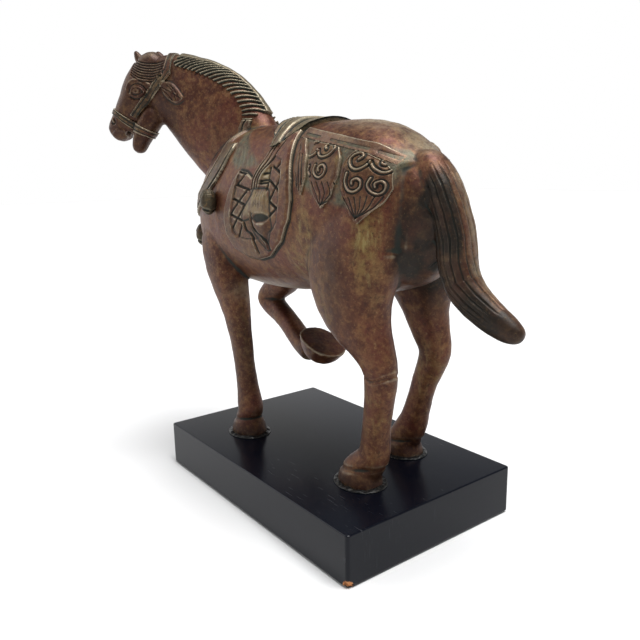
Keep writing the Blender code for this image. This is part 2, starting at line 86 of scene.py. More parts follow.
LEFT_HINDLEG = (
    (80, -18, 240, 28, 16, 0), (78, -24, 210, 42, 24, 0), (74, -29, 175, 45, 26, 0),
    (72, -31, 150, 41, 23, 0), (79, -30, 128, 32, 18, 0), (90, -28, 112, 18.5, 14, 0),
    (99, -26, 97, 14.5, 11.5, 0), (98, -24.5, 84, 14, 10.8, 0), (91.5, -22.5, 58, 10.5, 9.6, 0),
    (88, -21, 36, 11.8, 10.4, 0), (87.5, -21, 23, 13.5, 11.2, 0), (80, -22, 16, 13, 11.8, 0),
    (77, -24, 10, 17, 15, 0), (75, -25, 4, 19, 15.5, 0), (75, -25, -6, 20.5, 17, 0),
)
RIGHT_HINDLEG = (
    (80, 18, 240, 28, 16, 0), (78, 24, 210, 42, 24, 0), (76, 30, 175, 45, 26, 0),
    (79, 34, 150, 34, 20, 0), (79.5, 36, 132, 22, 15, 0), (83, 39, 112, 17.5, 12, 0),
    (87.5, 41, 97, 15.5, 10.5, 0), (87, 42, 88, 14, 10, 0), (76.5, 41, 69, 10.5, 8.5, 0),
    (69, 41, 38, 11, 9.2, 0), (63, 41, 23, 14.5, 11.5, 0), (57, 40, 16, 13, 11.5, 0),
    (55, 40, 9, 16.5, 14.5, 0), (54, 40, 4, 18.5, 15.5, 0), (54, 40, -6, 20, 16.5, 0),
)
RIGHT_FORELEG = (
    (-106, 32, 190, 28, 18, 0), (-98, 36, 162, 26, 17, 0), (-92, 36, 138, 20, 15.5, 0),
    (-108, 34, 124, 14.5, 13.5, 0), (-126, 32, 114, 13, 12.5, 0), (-135, 31, 106, 12.5, 12.5, 0),
    (-125, 31, 100, 12, 12, 0), (-108, 30, 95, 10, 10.5, 0), (-88, 28, 85, 10, 10, 0),
    (-70, 27, 73, 11, 11, 0), (-58, 26, 69, 11, 11.5, 0), (-46, 24, 67, 11, 12, 0),
)
RAISED_HOOF = ((-38, 23, 66, 14, 13, 0), (-36, 23, 71.5, 19, 16, 0), (-32, 23, 81.5, 25, 19.5, 0))
TAIL = (
    (110, 0, 240, 9, 11, 0), (122, -1, 234, 10, 13, 0), (132, -1, 219, 11, 14.5, 0),
    (139, -0.5, 202, 11, 15, 0), (143, 0, 187, 11, 15, 0), (143, 0, 172, 12.5, 14.5, 0),
    (147, 1, 157, 13, 13, 0), (158, 3, 146, 12, 11.5, 0), (173, 5, 136, 10.5, 9.5, 0),
    (186, 6, 131, 8.5, 8, 0), (192, 7, 128, 4, 4, 0),
)
SKIN_PITCH = 1.15  # grain of the fused wax
SKIN_EASING = 16
FINE_EASING = 3


def made_object(name, mesh):
    made = bpy.data.objects.new(name, mesh)
    bpy.context.scene.collection.objects.link(made)
    return made


def settled(thing):
    """The mesh of an object as its modifiers leave it. The object goes."""
    bpy.context.view_layer.update()
    mesh = bpy.data.meshes.new_from_object(thing.evaluated_get(bpy.context.evaluated_depsgraph_get()))
    bpy.data.objects.remove(thing)
    return mesh


def shaped(mesh, **steps):
    """A mesh taken through modifiers, in order: TYPE = its settings."""
    thing = made_object("blank", mesh)
    for kind, settings in steps.items():
        step = thing.modifiers.new(kind, kind.rstrip("_"))
        for name, value in settings.items():
            setattr(step, name, value)
    return settled(thing)


def drawn_out(stations, sides=16, rounding=1, upright=False, square=2.2):
    """A closed limb: an oval ring at each station, bridged to the next."""
    bm = bmesh.new()
    last = len(stations) - 1
    rings = []
    for i, (x, y, z, depth, width, turn) in enumerate(stations):
        along = Vector(stations[min(i + 1, last)][:3]) - Vector(stations[max(i - 1, 0)][:3])
        along = Vector((1, 0, 0)) if upright else along.normalized()
        yaw = math.radians(turn)
        lateral = Vector((-math.sin(yaw), math.cos(yaw), 0))
        lateral = (lateral - along * lateral.dot(along)).normalized()
        up = lateral.cross(along)
        ring = bmesh.ops.create_circle(bm, segments=sides, radius=1)["verts"]
        for v in ring:
            across = math.copysign(abs(v.co.x) ** (2 / square), v.co.x) * width
            rise = math.copysign(abs(v.co.y) ** (2 / square), v.co.y) * depth
            v.co = (Vector((x, y, z + DECK)) + lateral * across + up * rise) * MM
        rings.append(list({e for v in ring for e in v.link_edges}))
    for near, far in zip(rings, rings[1:]):
        bmesh.ops.bridge_loops(bm, edges=near + far)
    bmesh.ops.edgeloop_fill(bm, edges=rings[0])
    bmesh.ops.edgeloop_fill(bm, edges=rings[-1])
    bmesh.ops.recalc_face_normals(bm, faces=bm.faces)
    mesh = bpy.data.meshes.new("limb")
    bm.to_mesh(mesh)
    bm.free()
    if rounding:
        mesh = shaped(mesh, SUBSURF={"levels": rounding, "render_levels": rounding})
    return mesh


wax = bmesh.new()
wax.from_mesh(drawn_out(TRUNK, sides=24, upright=True))
for stations in (NECK, SKULL, JAW, NEAR_EAR, FAR_EAR, LEFT_FORELEG, LEFT_HINDLEG, RIGHT_HINDLEG,
                 RIGHT_FORELEG, TAIL):
    wax.from_mesh(drawn_out(stations))
wax.from_mesh(drawn_out(RAISED_HOOF, rounding=0))
skin = bpy.data.meshes.new("skin")
wax.to_mesh(skin)
wax.free()
skin = shaped(skin, REMESH={"mode": "VOXEL", "voxel_size": SKIN_PITCH * MM},
              SMOOTH={"iterations": SKIN_EASING, "factor": 0.5})


# ---------------------------------------------------------------------------------------------------
# The chasing: grooves, ridges and hollows cut in the skin with the chisel, worked as heights along
# its normals. Lines are given in side view as X and height, those of the head in its own turned frame.

def positions(mesh):
    """Corners of a mesh in millimetres, with heights above the deck."""
    co = np.empty(len(mesh.vertices) * 3, np.float32)
    mesh.vertices.foreach_get("co", co)
    co = co.reshape(-1, 3).astype(float) / MM
    co[:, 2] -= DECK
    return co


def normals(mesh):
    n = np.empty(len(mesh.vertices) * 3, np.float32)
    mesh.vertex_normals.foreach_get("vector", n)
    return n.reshape(-1, 3).astype(float)


def put_back(mesh, co):
    out = co.copy()
    out[:, 2] += DECK
    mesh.vertices.foreach_set("co", (out * MM).astype(np.float32).ravel())
    mesh.update()


def flowing(path, steps=8):
    """A smooth curve through the points."""
    p = np.array([path[0], *path, path[-1]], float)
    t = np.linspace(0, 1, steps, endpoint=False)[:, None]
    parts = []
    for before, start, end, after in zip(p, p[1:], p[2:], p[3:]):
        parts.append(0.5 * (2 * start + (end - before) * t + (2 * before - 5 * start + 4 * end - after) * t**2
                            + (3 * start - before - 3 * end + after) * t**3))
    return np.concatenate([*parts, p[-1:]])


def away(points, path):
    """How far each point lies from a line, and how far along the line, in millimetres."""
    best, along, run = np.full(len(points), 1e9), np.zeros(len(points)), 0.0
    for a, b in zip(path, path[1:]):
        span = b - a
        length = float(np.hypot(*span)) or 1e-9
        t = np.clip((points - a) @ span / length**2, 0, 1)
        gap = np.hypot(*(points - a - t[:, None] * span).T)
        near = gap < best
        best[near], along[near] = gap[near], run + t[near] * length
        run += length
    return best, along


def within(points, outline):
    """Distance in from a closed outline, negative outside it."""
    ring = np.array([*outline, outline[0]], float)
    inside = np.zeros(len(points), bool)
    for (x0, z0), (x1, z1) in zip(ring, ring[1:]):
        crosses = (z0 > points[:, 1]) != (z1 > points[:, 1])
        inside ^= crosses & (points[:, 0] < (x1 - x0) * (points[:, 1] - z0) / ((z1 - z0) or 1e-9) + x0)
    return np.where(inside, 1, -1) * away(points, ring)[0]


def ease(value, low, high):
    """0 below low, 1 above high, and smooth between."""
    t = np.clip((value - low) / (high - low), 0, 1)
    return t * t * (3 - 2 * t)


def line(points, path, width, smooth=True):
    """1 on a line, falling to 0 half its width away."""
    return 1 - ease(away(points, flowing(path) if smooth else np.array(path, float))[0], 0, width / 2)


def knoll(co, centre, radii):
    """1 at a centre, falling smoothly to 0 on an ellipsoid round it."""
    return 1 - ease(np.linalg.norm((co - np.array(centre)) / np.array(radii), axis=1), 0, 1)


def refined(mesh, chosen):
    """The mesh with the chosen faces cut in four."""
    bm = bmesh.new()
    bm.from_mesh(mesh)
    bm.faces.ensure_lookup_table()
    edges = list({e for i in np.flatnonzero(chosen) for e in bm.faces[i].edges})
    bmesh.ops.subdivide_edges(bm, edges=edges, cuts=1, use_grid_fill=True)
    bm.to_mesh(mesh)
    bm.free()
    return mesh


def centres(mesh):
    c = np.empty(len(mesh.polygons) * 3, np.float32)
    mesh.polygons.foreach_get("center", c)
    c = c.reshape(-1, 3).astype(float) / MM
    c[:, 2] -= DECK
    return c


HEAD_TURN = math.radians(45)


def head_frame(co):
    """The head's own length, height and side: X and height in its plane, and Y across it."""
    u = co[:, 0] * math.cos(HEAD_TURN) + co[:, 1] * math.sin(HEAD_TURN)
    v = co[:, 1] * math.cos(HEAD_TURN) - co[:, 0] * math.sin(HEAD_TURN)
    return np.stack([u, co[:, 2]], axis=1), v


middle = centres(skin)
head_of, _ = head_frame(middle)
fine = (middle[:, 2] > 240) & (head_of[:, 0] < -132) & (middle[:, 0] < -120)
fine |= (middle[:, 0] > 126) & (np.abs(middle[:, 1]) < 20) & (middle[:, 2] > 115)
skin = refined(skin, fine)
skin = shaped(skin, SMOOTH={"iterations": FINE_EASING, "factor": 0.5})
co, out = positions(skin), normals(skin)
side = co[:, [0, 2]]
face, across = head_frame(co)
head = ease(-face[:, 0], 138, 146) * ease(co[:, 2], 240, 246) * (co[:, 0] < -125)
rise = np.zeros(len(co))

# Tail: long hair grooves that follow it down to the tip.
TAIL_GROOVES = 15
tail_line = np.array([(x, z) for x, _, z, *_ in TAIL], float)
gap, along = away(side, tail_line)
on_tail = ease(co[:, 0], 124, 131) * (1 - ease(gap, 17, 20)) * (np.abs(co[:, 1]) < 22) * ease(along, 14, 30)
tail_spans = np.hypot(*np.diff(tail_line, axis=0).T)
tail_length = tail_spans.sum()
stops = np.concatenate([[0], np.cumsum(tail_spans)])
centre_x = np.interp(along, stops, tail_line[:, 0])
centre_y = np.interp(along, stops, [s[1] for s in TAIL])
centre_z = np.interp(along, stops, tail_line[:, 1])
heading = np.arctan2(np.gradient(tail_line[:, 1]), np.gradient(tail_line[:, 0]))
heading = np.interp(along, stops, heading)
lift = (co[:, 0] - centre_x) * -np.sin(heading) + (co[:, 2] - centre_z) * np.cos(heading)
angle = np.arctan2(lift, (co[:, 1] - centre_y) * 0.8)
rightward = (co[:, 0] - centre_x) * 0.61 + (co[:, 1] - centre_y) * 0.79
wave = np.abs(np.sin((angle + 0.0035 * along) * TAIL_GROOVES / 2))
rise -= on_tail * (1 - ease(wave, 0.0, 0.55)) * (1 - ease(along, tail_length - 34, tail_length - 14)) * 1.1

# Face: eye, lids, brow, nostril and lips on both cheeks.
EYE = (-183.5, 306)
UPPER_LID = ((-189.5, 304), (-187, 308.3), (-183, 309.6), (-178.5, 308), (-176, 305))
LOWER_LID = ((-189.5, 304), (-186, 302), (-181, 302.2), (-176, 305))
LID_CREASE = ((-191.5, 305), (-189, 310.5), (-183, 312.6), (-177, 310.5), (-173, 306))
BROW = ((-194, 308), (-190.5, 314), (-183.5, 316.6), (-175, 314.6), (-169, 309.5))
UNDER_LID = ((-190.5, 301.5), (-186, 299.3), (-180, 299.8), (-174, 303.5))
rise += head * (1 - ease(np.hypot((face[:, 0] - EYE[0]) / 5.6, (face[:, 1] - EYE[1]) / 3.4), 0.35, 1.0)) * 1.5
rise -= head * (1 - ease(np.hypot((face[:, 0] - EYE[0] - 0.3), (face[:, 1] - EYE[1])), 0.4, 1.5)) * 0.45
rise += head * line(face, UPPER_LID, 2.1) * 1.2 + head * line(face, LOWER_LID, 1.8) * 0.8
rise -= head * line(face, LID_CREASE, 2.2) * 1.2 + head * line(face, UNDER_LID, 2.4) * 0.9
rise += head * line(face, BROW, 3.4) * 0.9
NOSTRIL = ((-216, 281), (-213, 278), (-210.5, 279.5), (-211.5, 282.5))
rise -= head * line(face, NOSTRIL, 3.4) * 1.6
rise -= head * (1 - ease(np.hypot((face[:, 0] + 198.5), (face[:, 1] - 267.5)), 0.8, 3.6)) * 5.0
rise -= head * line(face, ((-208, 261), (-203, 263), (-198.5, 266.5)), 2.2) * 1.4
rise += head * line(face, ((-214, 268), (-208, 272.5), (-201.5, 271.5)), 5) * 1.0

# Forelock: locks swept from the brow, round the ear and back to the poll.
LOCKS = 8
lock_low = ((-189, 321), (-180, 315.5), (-168, 314), (-157, 317.5), (-148, 324), (-139, 329))
lock_high = ((-187, 336), (-177, 331.5), (-166, 330.5), (-154, 332), (-146, 333.5), (-138, 335))
for i in range(LOCKS):
    row = [tuple(a + (b - a) * i / (LOCKS - 1) for a, b in zip(low, high))
           for low, high in zip(lock_low, lock_high)]
    rise -= head * line(face, row, 2.3) * (1 - ease(face[:, 0], -158, -153.5)) * 1.5

# Ear: the near ear is hollowed towards the front.
in_ear = 1 - ease(np.hypot((face[:, 0] + 185) / 3.2, (face[:, 1] - 338) / 5.5), 0.3, 1.0)
rise -= head * in_ear * (across < 99) * 1.4

# A leaf lies behind the cheek strap.
LEAF = (
    (-158, 309), (-156.5, 312.5), (-150, 312.5), (-144, 309.5), (-138, 303), (-134.5, 296.5),
    (-141.5, 293), (-149, 296), (-155, 301.5),
)
leaf_ring = flowing([*LEAF, LEAF[0]])
in_leaf = within(face, leaf_ring)
near = across < 90
rise += near * ease(in_leaf, -0.4, 1.0) * 1.5 * (co[:, 0] < -120)
for vein in (((-156, 308), (-147, 303), (-137, 297)), ((-151, 309.5), (-145, 303.5), (-142, 296)),
             ((-146, 308), (-141, 302), (-138.5, 297.5)), ((-155, 305), (-149, 300), (-145.5, 296))):
    rise -= near * (in_leaf > 0) * line(face, vein, 1.6) * 0.9
rise -= near * (co[:, 0] < -120) * ease(in_leaf, -2.6, -1.2) * (1 - ease(in_leaf, -1.2, 0.0)) * 0.3

# Limbs: the crease behind the near thigh, the hollow by the tail, hocks, fetlocks and hooves.
left = co[:, 1] < -4
right = co[:, 1] > 4
rise -= left * line(side, ((116, 232), (119, 214), (119, 196), (117, 180)), 9) * 1.8
rise -= knoll(co, (121, -14, 176), (15, 13, 32)) * 4.5
rise -= left * line(side, ((84, 91), (94, 87), (103, 88), (113, 93)), 3.6) * 0.8 * (co[:, 0] > 70)
for x, y, z, long in ((-64, -37, 18, 16), (79, -22, 17, 21), (57, 40, 16, 18)):
    ring = np.abs(co[:, 2] - z + 3 - 0.14 * (co[:, 0] - x)) / 3.0
    rise -= (np.hypot(co[:, 0] - x, co[:, 1] - y) < long + 4) * (1 - ease(ring, 0, 1)) * 0.9
# The pad in front of the saddle falls in fine wrinkles.
PAD = ((-80, 270), (-60, 262), (-26.5, 243), (-14, 236), (-30, 234), (-48.5, 233), (-58, 240), (-66, 256))
on_pad = ease(within(side, PAD), -2, 3) * (np.abs(co[:, 1]) > 12)
for k in range(7):
    wrinkle = ((-76 + 2 * k, 269 - k), (-60 + 6 * k, 252 - 1.5 * k), (-52 + 6.3 * k, 234))
    rise -= on_pad * line(side, wrinkle, 1.9) * 0.7
# The cast surface: shallow unevenness left by the wax.
rise += np.array([noise(Vector(p) / 11) * 0.35 + noise(Vector(p) / 3.4) * 0.09 for p in co])
co += out * rise[:, None]
sole = (co[:, 2] < 0.4) & (co[:, 0] < 110)
co[sole, 2] = np.maximum(co[sole, 2], 0.1)
put_back(skin, co)


# ---------------------------------------------------------------------------------------------------
# Patina: red-brown bronze, mauve on the flanks, mottled olive and gold, nearly black-green where the
# relief is deep and rubbed pale along its edges. It reads attributes laid on the corners of a mesh, which
# also carry painted shade in broad hollows, round the saddle flaps, behind and between the hind legs and
# on the tail's left side, and painted highlight on the croup, under the belly and on the tail's right side.

def neighbours_mean(value, pairs, counts):
    total = np.zeros_like(value)
    for k in range(value.shape[1]):
        total[:, k] = (np.bincount(pairs[:, 0], value[pairs[:, 1], k], len(value))
                       + np.bincount(pairs[:, 1], value[pairs[:, 0], k], len(value)))
    return total / counts[:, None]


def weathered(mesh, extra_dark=(), fine_passes=3, broad_passes=14, fine_scale=0.16, broad_scale=0.8):
    """Lays how sunk and how worn each corner is, from its height off the eased surface.
    Fine hollows take dark patina, broad hollows painted shade, and the extra masks add more dark.
    """
    pairs = np.empty(len(mesh.edges) * 2, np.int32)
    mesh.edges.foreach_get("vertices", pairs)
    pairs = pairs.reshape(-1, 2)
    start, n = positions(mesh), normals(mesh)
    counts = np.maximum(np.bincount(pairs.ravel(), minlength=len(start)), 1)
    eased, depth = start, np.zeros(len(start))
    for step in range(broad_passes):
        eased = (eased + neighbours_mean(eased, pairs, counts)) / 2
        if step == fine_passes - 1:
            depth = np.clip(((eased - start) * n).sum(axis=1) / fine_scale, -1, 1)
    # Painted shade: the broad hollows are darkened as well as the fine ones.
    broad = np.clip(((eased - start) * n).sum(axis=1) / broad_scale, -1, 1)
    level = neighbours_mean((depth * 0.6 + broad * 0.8)[:, None], pairs, counts)[:, 0]
    recess = np.clip(level, 0, 1)
    for extra in extra_dark:
        recess = np.maximum(recess, extra)
    for name, value in (("recess", recess), ("worn", np.clip(-level, 0, 1))):
        layer = mesh.attributes.new(name, "FLOAT", "POINT")
        layer.data.foreach_set("value", value.astype(np.float32))


def toned(mesh, gold=0, moss=0, umber=0, pale=0):
    """Lays the shares of golden, grey-green, dark and rubbed pale patina on each corner.
    The dark share also holds painted shade, and the pale share painted highlight.
    """
    layer = mesh.attributes.new("tones", "FLOAT_COLOR", "POINT")
    rows = np.stack([np.zeros(len(mesh.vertices)) + share for share in (gold, moss, umber, pale)], axis=1)
    layer.data.foreach_set("color", np.clip(rows, 0, 1).astype(np.float32).ravel())


class Wire:
    """A socket that can be used in sums."""

    def __init__(self, tree, socket):
        self.tree, self.socket = tree, socket

    def node(self, kind, settings=None, out=0, **sockets):
        made = self.tree.nodes.new(kind)
        for name, value in (settings or {}).items():
            if name == "stops":
                ramp = made.color_ramp.elements
                while len(ramp) < len(value):
                    ramp.new(1)
                for element, (place, colour) in zip(ramp, value):
                    element.position, element.color = place, (*colour, 1)
            else:
                setattr(made, name, value)
        for key, value in sockets.items():
            numbered = key[0] == "_" and key[1:].isdigit()
            place = made.inputs[int(key[1:]) if numbered else key.replace("_", " ")]
            if isinstance(value, Wire):
                self.tree.links.new(value.socket, place)
            else:
                place.default_value = value
        return Wire(self.tree, made.outputs[out])

    def math(self, operation, *values):
        inputs = {f"_{i}": value for i, value in enumerate(values)}
        return self.node("ShaderNodeMath", {"operation": operation}, **inputs)

    def __add__(self, other):
        return self.math("ADD", self, other)

    def __sub__(self, other):
        return self.math("SUBTRACT", self, other)

    def __rsub__(self, other):
        return self.math("SUBTRACT", other, self)

    def __mul__(self, other):
        return self.math("MULTIPLY", self, other)

    __radd__, __rmul__ = __add__, __mul__

    def between(self, low, high):
        return self.node("ShaderNodeMapRange", {"interpolation_type": "SMOOTHSTEP", "clamp": True},
                         Value=self, From_Min=low, From_Max=high)

    def over(self, below, colour):
        """colour over below, where this is 1."""
        return self.node("ShaderNodeMix", {"data_type": "RGBA"}, out=2, _0=self, _6=below, _7=colour)

    def noise(self, scale, detail=4.0, roughness=0.55, distortion=0.0, out=0):
        return self.node("ShaderNodeTexNoise", out=out, Vector=self, Scale=scale, Detail=detail,
                         Roughness=roughness, Distortion=distortion)


def new_material(name, **constants):
    made = bpy.data.materials.new(name)
    made.use_nodes = True
    tree = made.node_tree
    shader = tree.nodes["Principled BSDF"]
    for key, value in constants.items():
        shader.inputs[key.replace("_", " ")].default_value = value
    place = Wire(tree, None).node("ShaderNodeTexCoord", out=3)
    return made, shader, place


def joined(shader, **links):
    for key, value in links.items():
        shader.id_data.links.new(value.socket, shader.inputs[key.replace("_", " ")])


def rgb(r, g, b):
    return (r, g, b, 1)


def patina(name, base, warm, dark_share):
    """Bronze patina between two browns, with more or less of the dark recess colour, which is patina and
    painted shade.
    """
    made, shader, place = new_material(name, Specular_IOR_Level=0.28)
    tones = place.node("ShaderNodeAttribute", {"attribute_name": "tones"})
    channels = place.node("ShaderNodeSeparateColor", Color=tones).socket.node.outputs
    gold_share, moss_share, umber_and_shade_share = (Wire(tones.tree, channel) for channel in channels[:3])
    pale_and_highlight_share = Wire(tones.tree, tones.socket.node.outputs[3])
    recess = place.node("ShaderNodeAttribute", {"attribute_name": "recess"}, out=2)
    worn = place.node("ShaderNodeAttribute", {"attribute_name": "worn"}, out=2)
    cloud = place.noise(34, 5, 0.6)
    mottle = place.noise(120, 6, 0.65)
    grit = place.noise(620, 4, 0.6)
    speck = place.noise(290, 5, 0.72)
    streak = place.node("ShaderNodeMapping", Vector=place, Scale=(220, 220, 60)).noise(1, 4, 0.6)
    colour = (cloud * 0.6 + mottle * 0.4).between(0.40, 0.60).over(rgb(*base), rgb(*warm))
    colour = (mottle.between(0.50, 0.70) * 0.5).over(colour, rgb(0.170, 0.098, 0.042))
    colour = (cloud.between(0.50, 0.60) * 0.6).over(colour, rgb(0.062, 0.009, 0.010))
    # Pale patina, with painted highlight on the croup, under the belly and on the tail's right side.
    colour = (pale_and_highlight_share * (0.35 + 0.9 * mottle.between(0.3, 0.62))).over(colour, rgb(0.340, 0.290, 0.205))
    colour = (gold_share * (0.1 + 1.0 * mottle.between(0.38, 0.62))).over(colour, rgb(0.165, 0.105, 0.036))
    colour = (gold_share * streak.between(0.52, 0.66) * 0.6).over(colour, rgb(0.270, 0.220, 0.085))
    colour = (moss_share * (0.4 + 0.9 * mottle.between(0.3, 0.6))).over(colour, rgb(0.085, 0.098, 0.066))
    # Dark umber patina, with painted shade behind and between the hind legs, on the far hind quarter and on
    # the tail's left side.
    colour = (umber_and_shade_share * (0.5 + 0.8 * cloud.between(0.3, 0.6))).over(colour, rgb(0.014, 0.010, 0.007))
    colour = (speck.between(0.52, 0.64) * (0.42 - 0.36 * umber_and_shade_share)).over(colour, rgb(0.200, 0.105, 0.038))
    colour = ((1 - speck).between(0.52, 0.66) * 0.50).over(colour, rgb(0.020, 0.009, 0.006))
    colour = (grit.between(0.60, 0.70) * (0.28 - 0.18 * umber_and_shade_share)).over(colour, rgb(0.36, 0.25, 0.12))
    colour = ((1 - grit).between(0.60, 0.70) * 0.60).over(colour, rgb(0.012, 0.008, 0.005))
    # Nearly black-green patina in the fine hollows, and painted shade in the broad hollows and round the
    # saddle flaps.
    sunk = (recess * (0.75 + 0.8 * mottle)).between(0.08, 0.62)
    colour = (sunk * dark_share).over(colour, rgb(0.010, 0.015, 0.012))
    rubbed = (worn * (0.4 + 1.2 * mottle)).between(0.26, 0.95)
    colour = (rubbed * 0.6).over(colour, rgb(0.38, 0.33, 0.235))
    metal = 0.38 - 0.34 * sunk + 0.10 * rubbed
    rough = 0.46 + 0.26 * sunk + 0.24 * (mottle - 0.5) + 0.16 * (grit - 0.5) - 0.06 * rubbed
    height = mottle * 0.35 + speck * 0.3 + grit * 0.35 + place.noise(1500, 2, 0.5) * 0.15
    bump = place.node("ShaderNodeBump", Strength=0.5, Distance=0.0007, Height=height)
    joined(shader, Base_Color=colour, Metallic=metal, Roughness=rough, Normal=bump)
    return made


BRONZE = patina("red_brown_patina", (0.058, 0.017, 0.009), (0.150, 0.060, 0.026), 0.92)
DARK_BRONZE = patina("olive_brown_patina", (0.040, 0.022, 0.011), (0.092, 0.066, 0.034), 0.95)


# ---------------------------------------------------------------------------------------------------
# The castings: the skin parted at the joints of the eight bronze castings, each piece closed behind.
# Joints are chased flush, so they hardly show.

CASTINGS = ("torso_casting", "neck_casting", "head_casting", "tail_casting", "left_foreleg_casting",
            "right_foreleg_casting", "left_hindleg_casting", "right_hindleg_casting")
FLAP = (
    (16, 261.3), (23, 246), (31, 225), (33.5, 211), (30, 197), (18, 180), (-1, 167.5), (-17, 163.5),
    (-33, 164.5), (-50, 170), (-57.5, 181), (-59, 193), (-56, 203), (-50, 215), (-44, 225), (-38, 232.5),
    (-28, 231), (-17.5, 225.5), (-12.5, 233), (-7.5, 242), (-5.4, 248.5), (4.3, 249.5), (8.4, 255.7),
)


def casting_of(mesh):
    """The casting each face belongs to: the one whose CAD surface is nearest."""
    points, faces, owner = [], [], []
    for i, name in enumerate(CASTINGS):
        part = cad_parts[name].data
        start = len(points)
        points += [v.co.copy() for v in part.vertices]
        faces += [tuple(start + k for k in p.vertices) for p in part.polygons]
        owner += [i] * len(part.polygons)
    tree = BVHTree.FromPolygons(points, faces)
    return np.array([owner[tree.find_nearest(p.center)[2]] for p in mesh.polygons])


flank = np.abs(co[:, 1]) > 12
# Painted shadow on the skin round the saddle flaps' edge, with the dark patina of the crevice there.
flap_shadow_and_crevice = flank * (1 - ease(np.abs(within(side, FLAP)), 0.3, 2.6)) * (co[:, 0] < 40) * 0.85
CROUP = ((20, 262), (118, 243), (116, 222), (92, 206), (60, 212), (34, 228))
mirrored = np.stack([co[:, 0], -np.abs(co[:, 1]), co[:, 2]], axis=1)
gold = (knoll(mirrored, (45, -52, 186), (14, 30, 44)) * 0.8
        + knoll(mirrored, (104, -42, 186), (13, 30, 50)) * 1.1
        + knoll(mirrored, (28, -48, 165), (18, 30, 26)) * 0.7
        + knoll(mirrored, (-80, -20, 262), (20, 24, 22)) * 0.8
        + knoll(mirrored, (60, -42, 140), (20, 22, 34)) * 0.6
        + knoll(mirrored, (92, -24, 66), (26, 22, 34)) * 0.5
        + knoll(mirrored, (-70, -37, 90), (20, 20, 60)) * 0.25
        + knoll(mirrored, (104, 0, 252), (40, 22, 16)) * 0.3
        + knoll(co, (88, 42, 80), (22, 22, 60)) * 0.5)
moss = flank * ease(within(side, CROUP), -2, 3) * 0.6 + on_pad * 0.6 + on_tail * 0.15
# Darker patches: dark patina, with painted shade in the hollow behind the near thigh, on the far hind
# quarter, between the hind legs and on the tail's left side. The legs darken towards the bottom.
umber = (knoll(co, (122, -18, 182), (20, 26, 56)) * 1.5 + knoll(co, (104, 16, 160), (32, 42, 70)) * 1.0
         + head * 0.45
         + knoll(co, (60, 0, 150), (50, 14, 30)) * 0.5
         + knoll(co, (-106, 34, 105), (36, 20, 26)) * 0.5
         + on_tail * (1 - ease(rightward, -1, 4)) * 0.9 + knoll(mirrored, (76, -50, 164), (24, 26, 62)) * 0.5
         + knoll(co, (-68, -37, 60), (22, 20, 62)) * 0.55
         + (1 - ease(co[:, 2], 2, 26)) * 0.55 * (co[:, 2] < 40)
         + knoll(co, (-112, -8, 240), (26, 34, 34)) * 0.25)
# Paler patches: painted highlight on top of the croup and rump and on the tail's right side, painted light
# under the belly, and a paler patch on top of the head.
pale = (knoll(co, (70, 2, 272), (66, 40, 30)) * 0.75 + knoll(co, (112, 8, 248), (26, 26, 34)) * 0.7
        + on_tail * ease(rightward, 3, 9) * 0.3 + knoll(co, (-40, -20, 130), (74, 44, 20)) * 0.7
        + knoll(co, (-190, -60, 343), (24, 24, 14)) * 0.5)
weathered(skin, extra_dark=(flap_shadow_and_crevice,), broad_scale=1.3)
toned(skin, gold, moss, umber, pale)
owners = casting_of(skin)
whole = bmesh.new()
whole.from_mesh(skin)
for i, name in enumerate(CASTINGS):
    part = whole.copy()
    part.faces.ensure_lookup_table()
    others = [part.faces[k] for k in np.flatnonzero(owners != i)]
    bmesh.ops.delete(part, geom=others, context="FACES")
    rim = [e for e in part.edges if e.is_boundary]
    for e in rim:
        e.smooth = False
    for f in part.faces:
        f.smooth = True
    bmesh.ops.triangulate(part, faces=bmesh.ops.holes_fill(part, edges=rim, sides=0)["faces"])
    mesh = bpy.data.meshes.new(name)
    part.to_mesh(mesh)
    part.free()
    piece = made_object(name.replace("_casting", "_bronze"), mesh)
    mesh.materials.append(BRONZE)
    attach(piece, "root")
    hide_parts(name)
whole.free()
SKIN_TREE = BVHTree.FromPolygons([v.co for v in skin.vertices], [tuple(p.vertices) for p in skin.polygons])


# ---------------------------------------------------------------------------------------------------
# Relief trappings: each is cast with the body and stands a few millimetres proud of it. A piece starts
# from its CAD solid, finely regrained, is laid down on the chased skin and takes its carved heights.

def regrained(node, pitch, easing):
    """A copy of the node's solid with its triangles merged, rebuilt in a fine even grain."""
    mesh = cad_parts[node].data.copy()
    bm = bmesh.new()
    bm.from_mesh(mesh)
    bmesh.ops.remove_doubles(bm, verts=bm.verts, dist=0.00001)
    bm.to_mesh(mesh)
    bm.free()
    return shaped(mesh, REMESH={"mode": "VOXEL", "voxel_size": pitch * MM},
                  SMOOTH={"iterations": easing, "factor": 0.5})


def laid(node, pitch, top, height, easing=5, look=DARK_BRONZE, tones=None):
    """The node's solid laid on the skin. height(view, at) gives its upper face and how dark it is there."""
    mesh = regrained(node, pitch, easing)
    at = positions(mesh)
    foot, up = np.empty_like(at), np.empty_like(at)
    for i, v in enumerate(mesh.vertices):
        where, normal, _, _ = SKIN_TREE.find_nearest(v.co)
        foot[i], up[i] = where, normal
    foot /= MM
    foot[:, 2] -= DECK
    proud = ((at - foot) * up).sum(axis=1)
    upper = ease(proud, 0.30 * top, 0.66 * top)
    view = foot[:, [0, 2]]
    raised, extra_dark = height(view, foot)
    put_back(mesh, foot + up * (upper * raised - (1 - upper) * 0.7)[:, None])
    mesh.shade_smooth()
    mesh.materials.clear()
    mesh.materials.append(look)
    weathered(mesh, extra_dark=(extra_dark * upper,))
    toned(mesh, **(tones(view, foot) if tones else {}))
    piece = made_object(node + "_relief", mesh)
    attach(piece, "root")
    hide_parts(node)


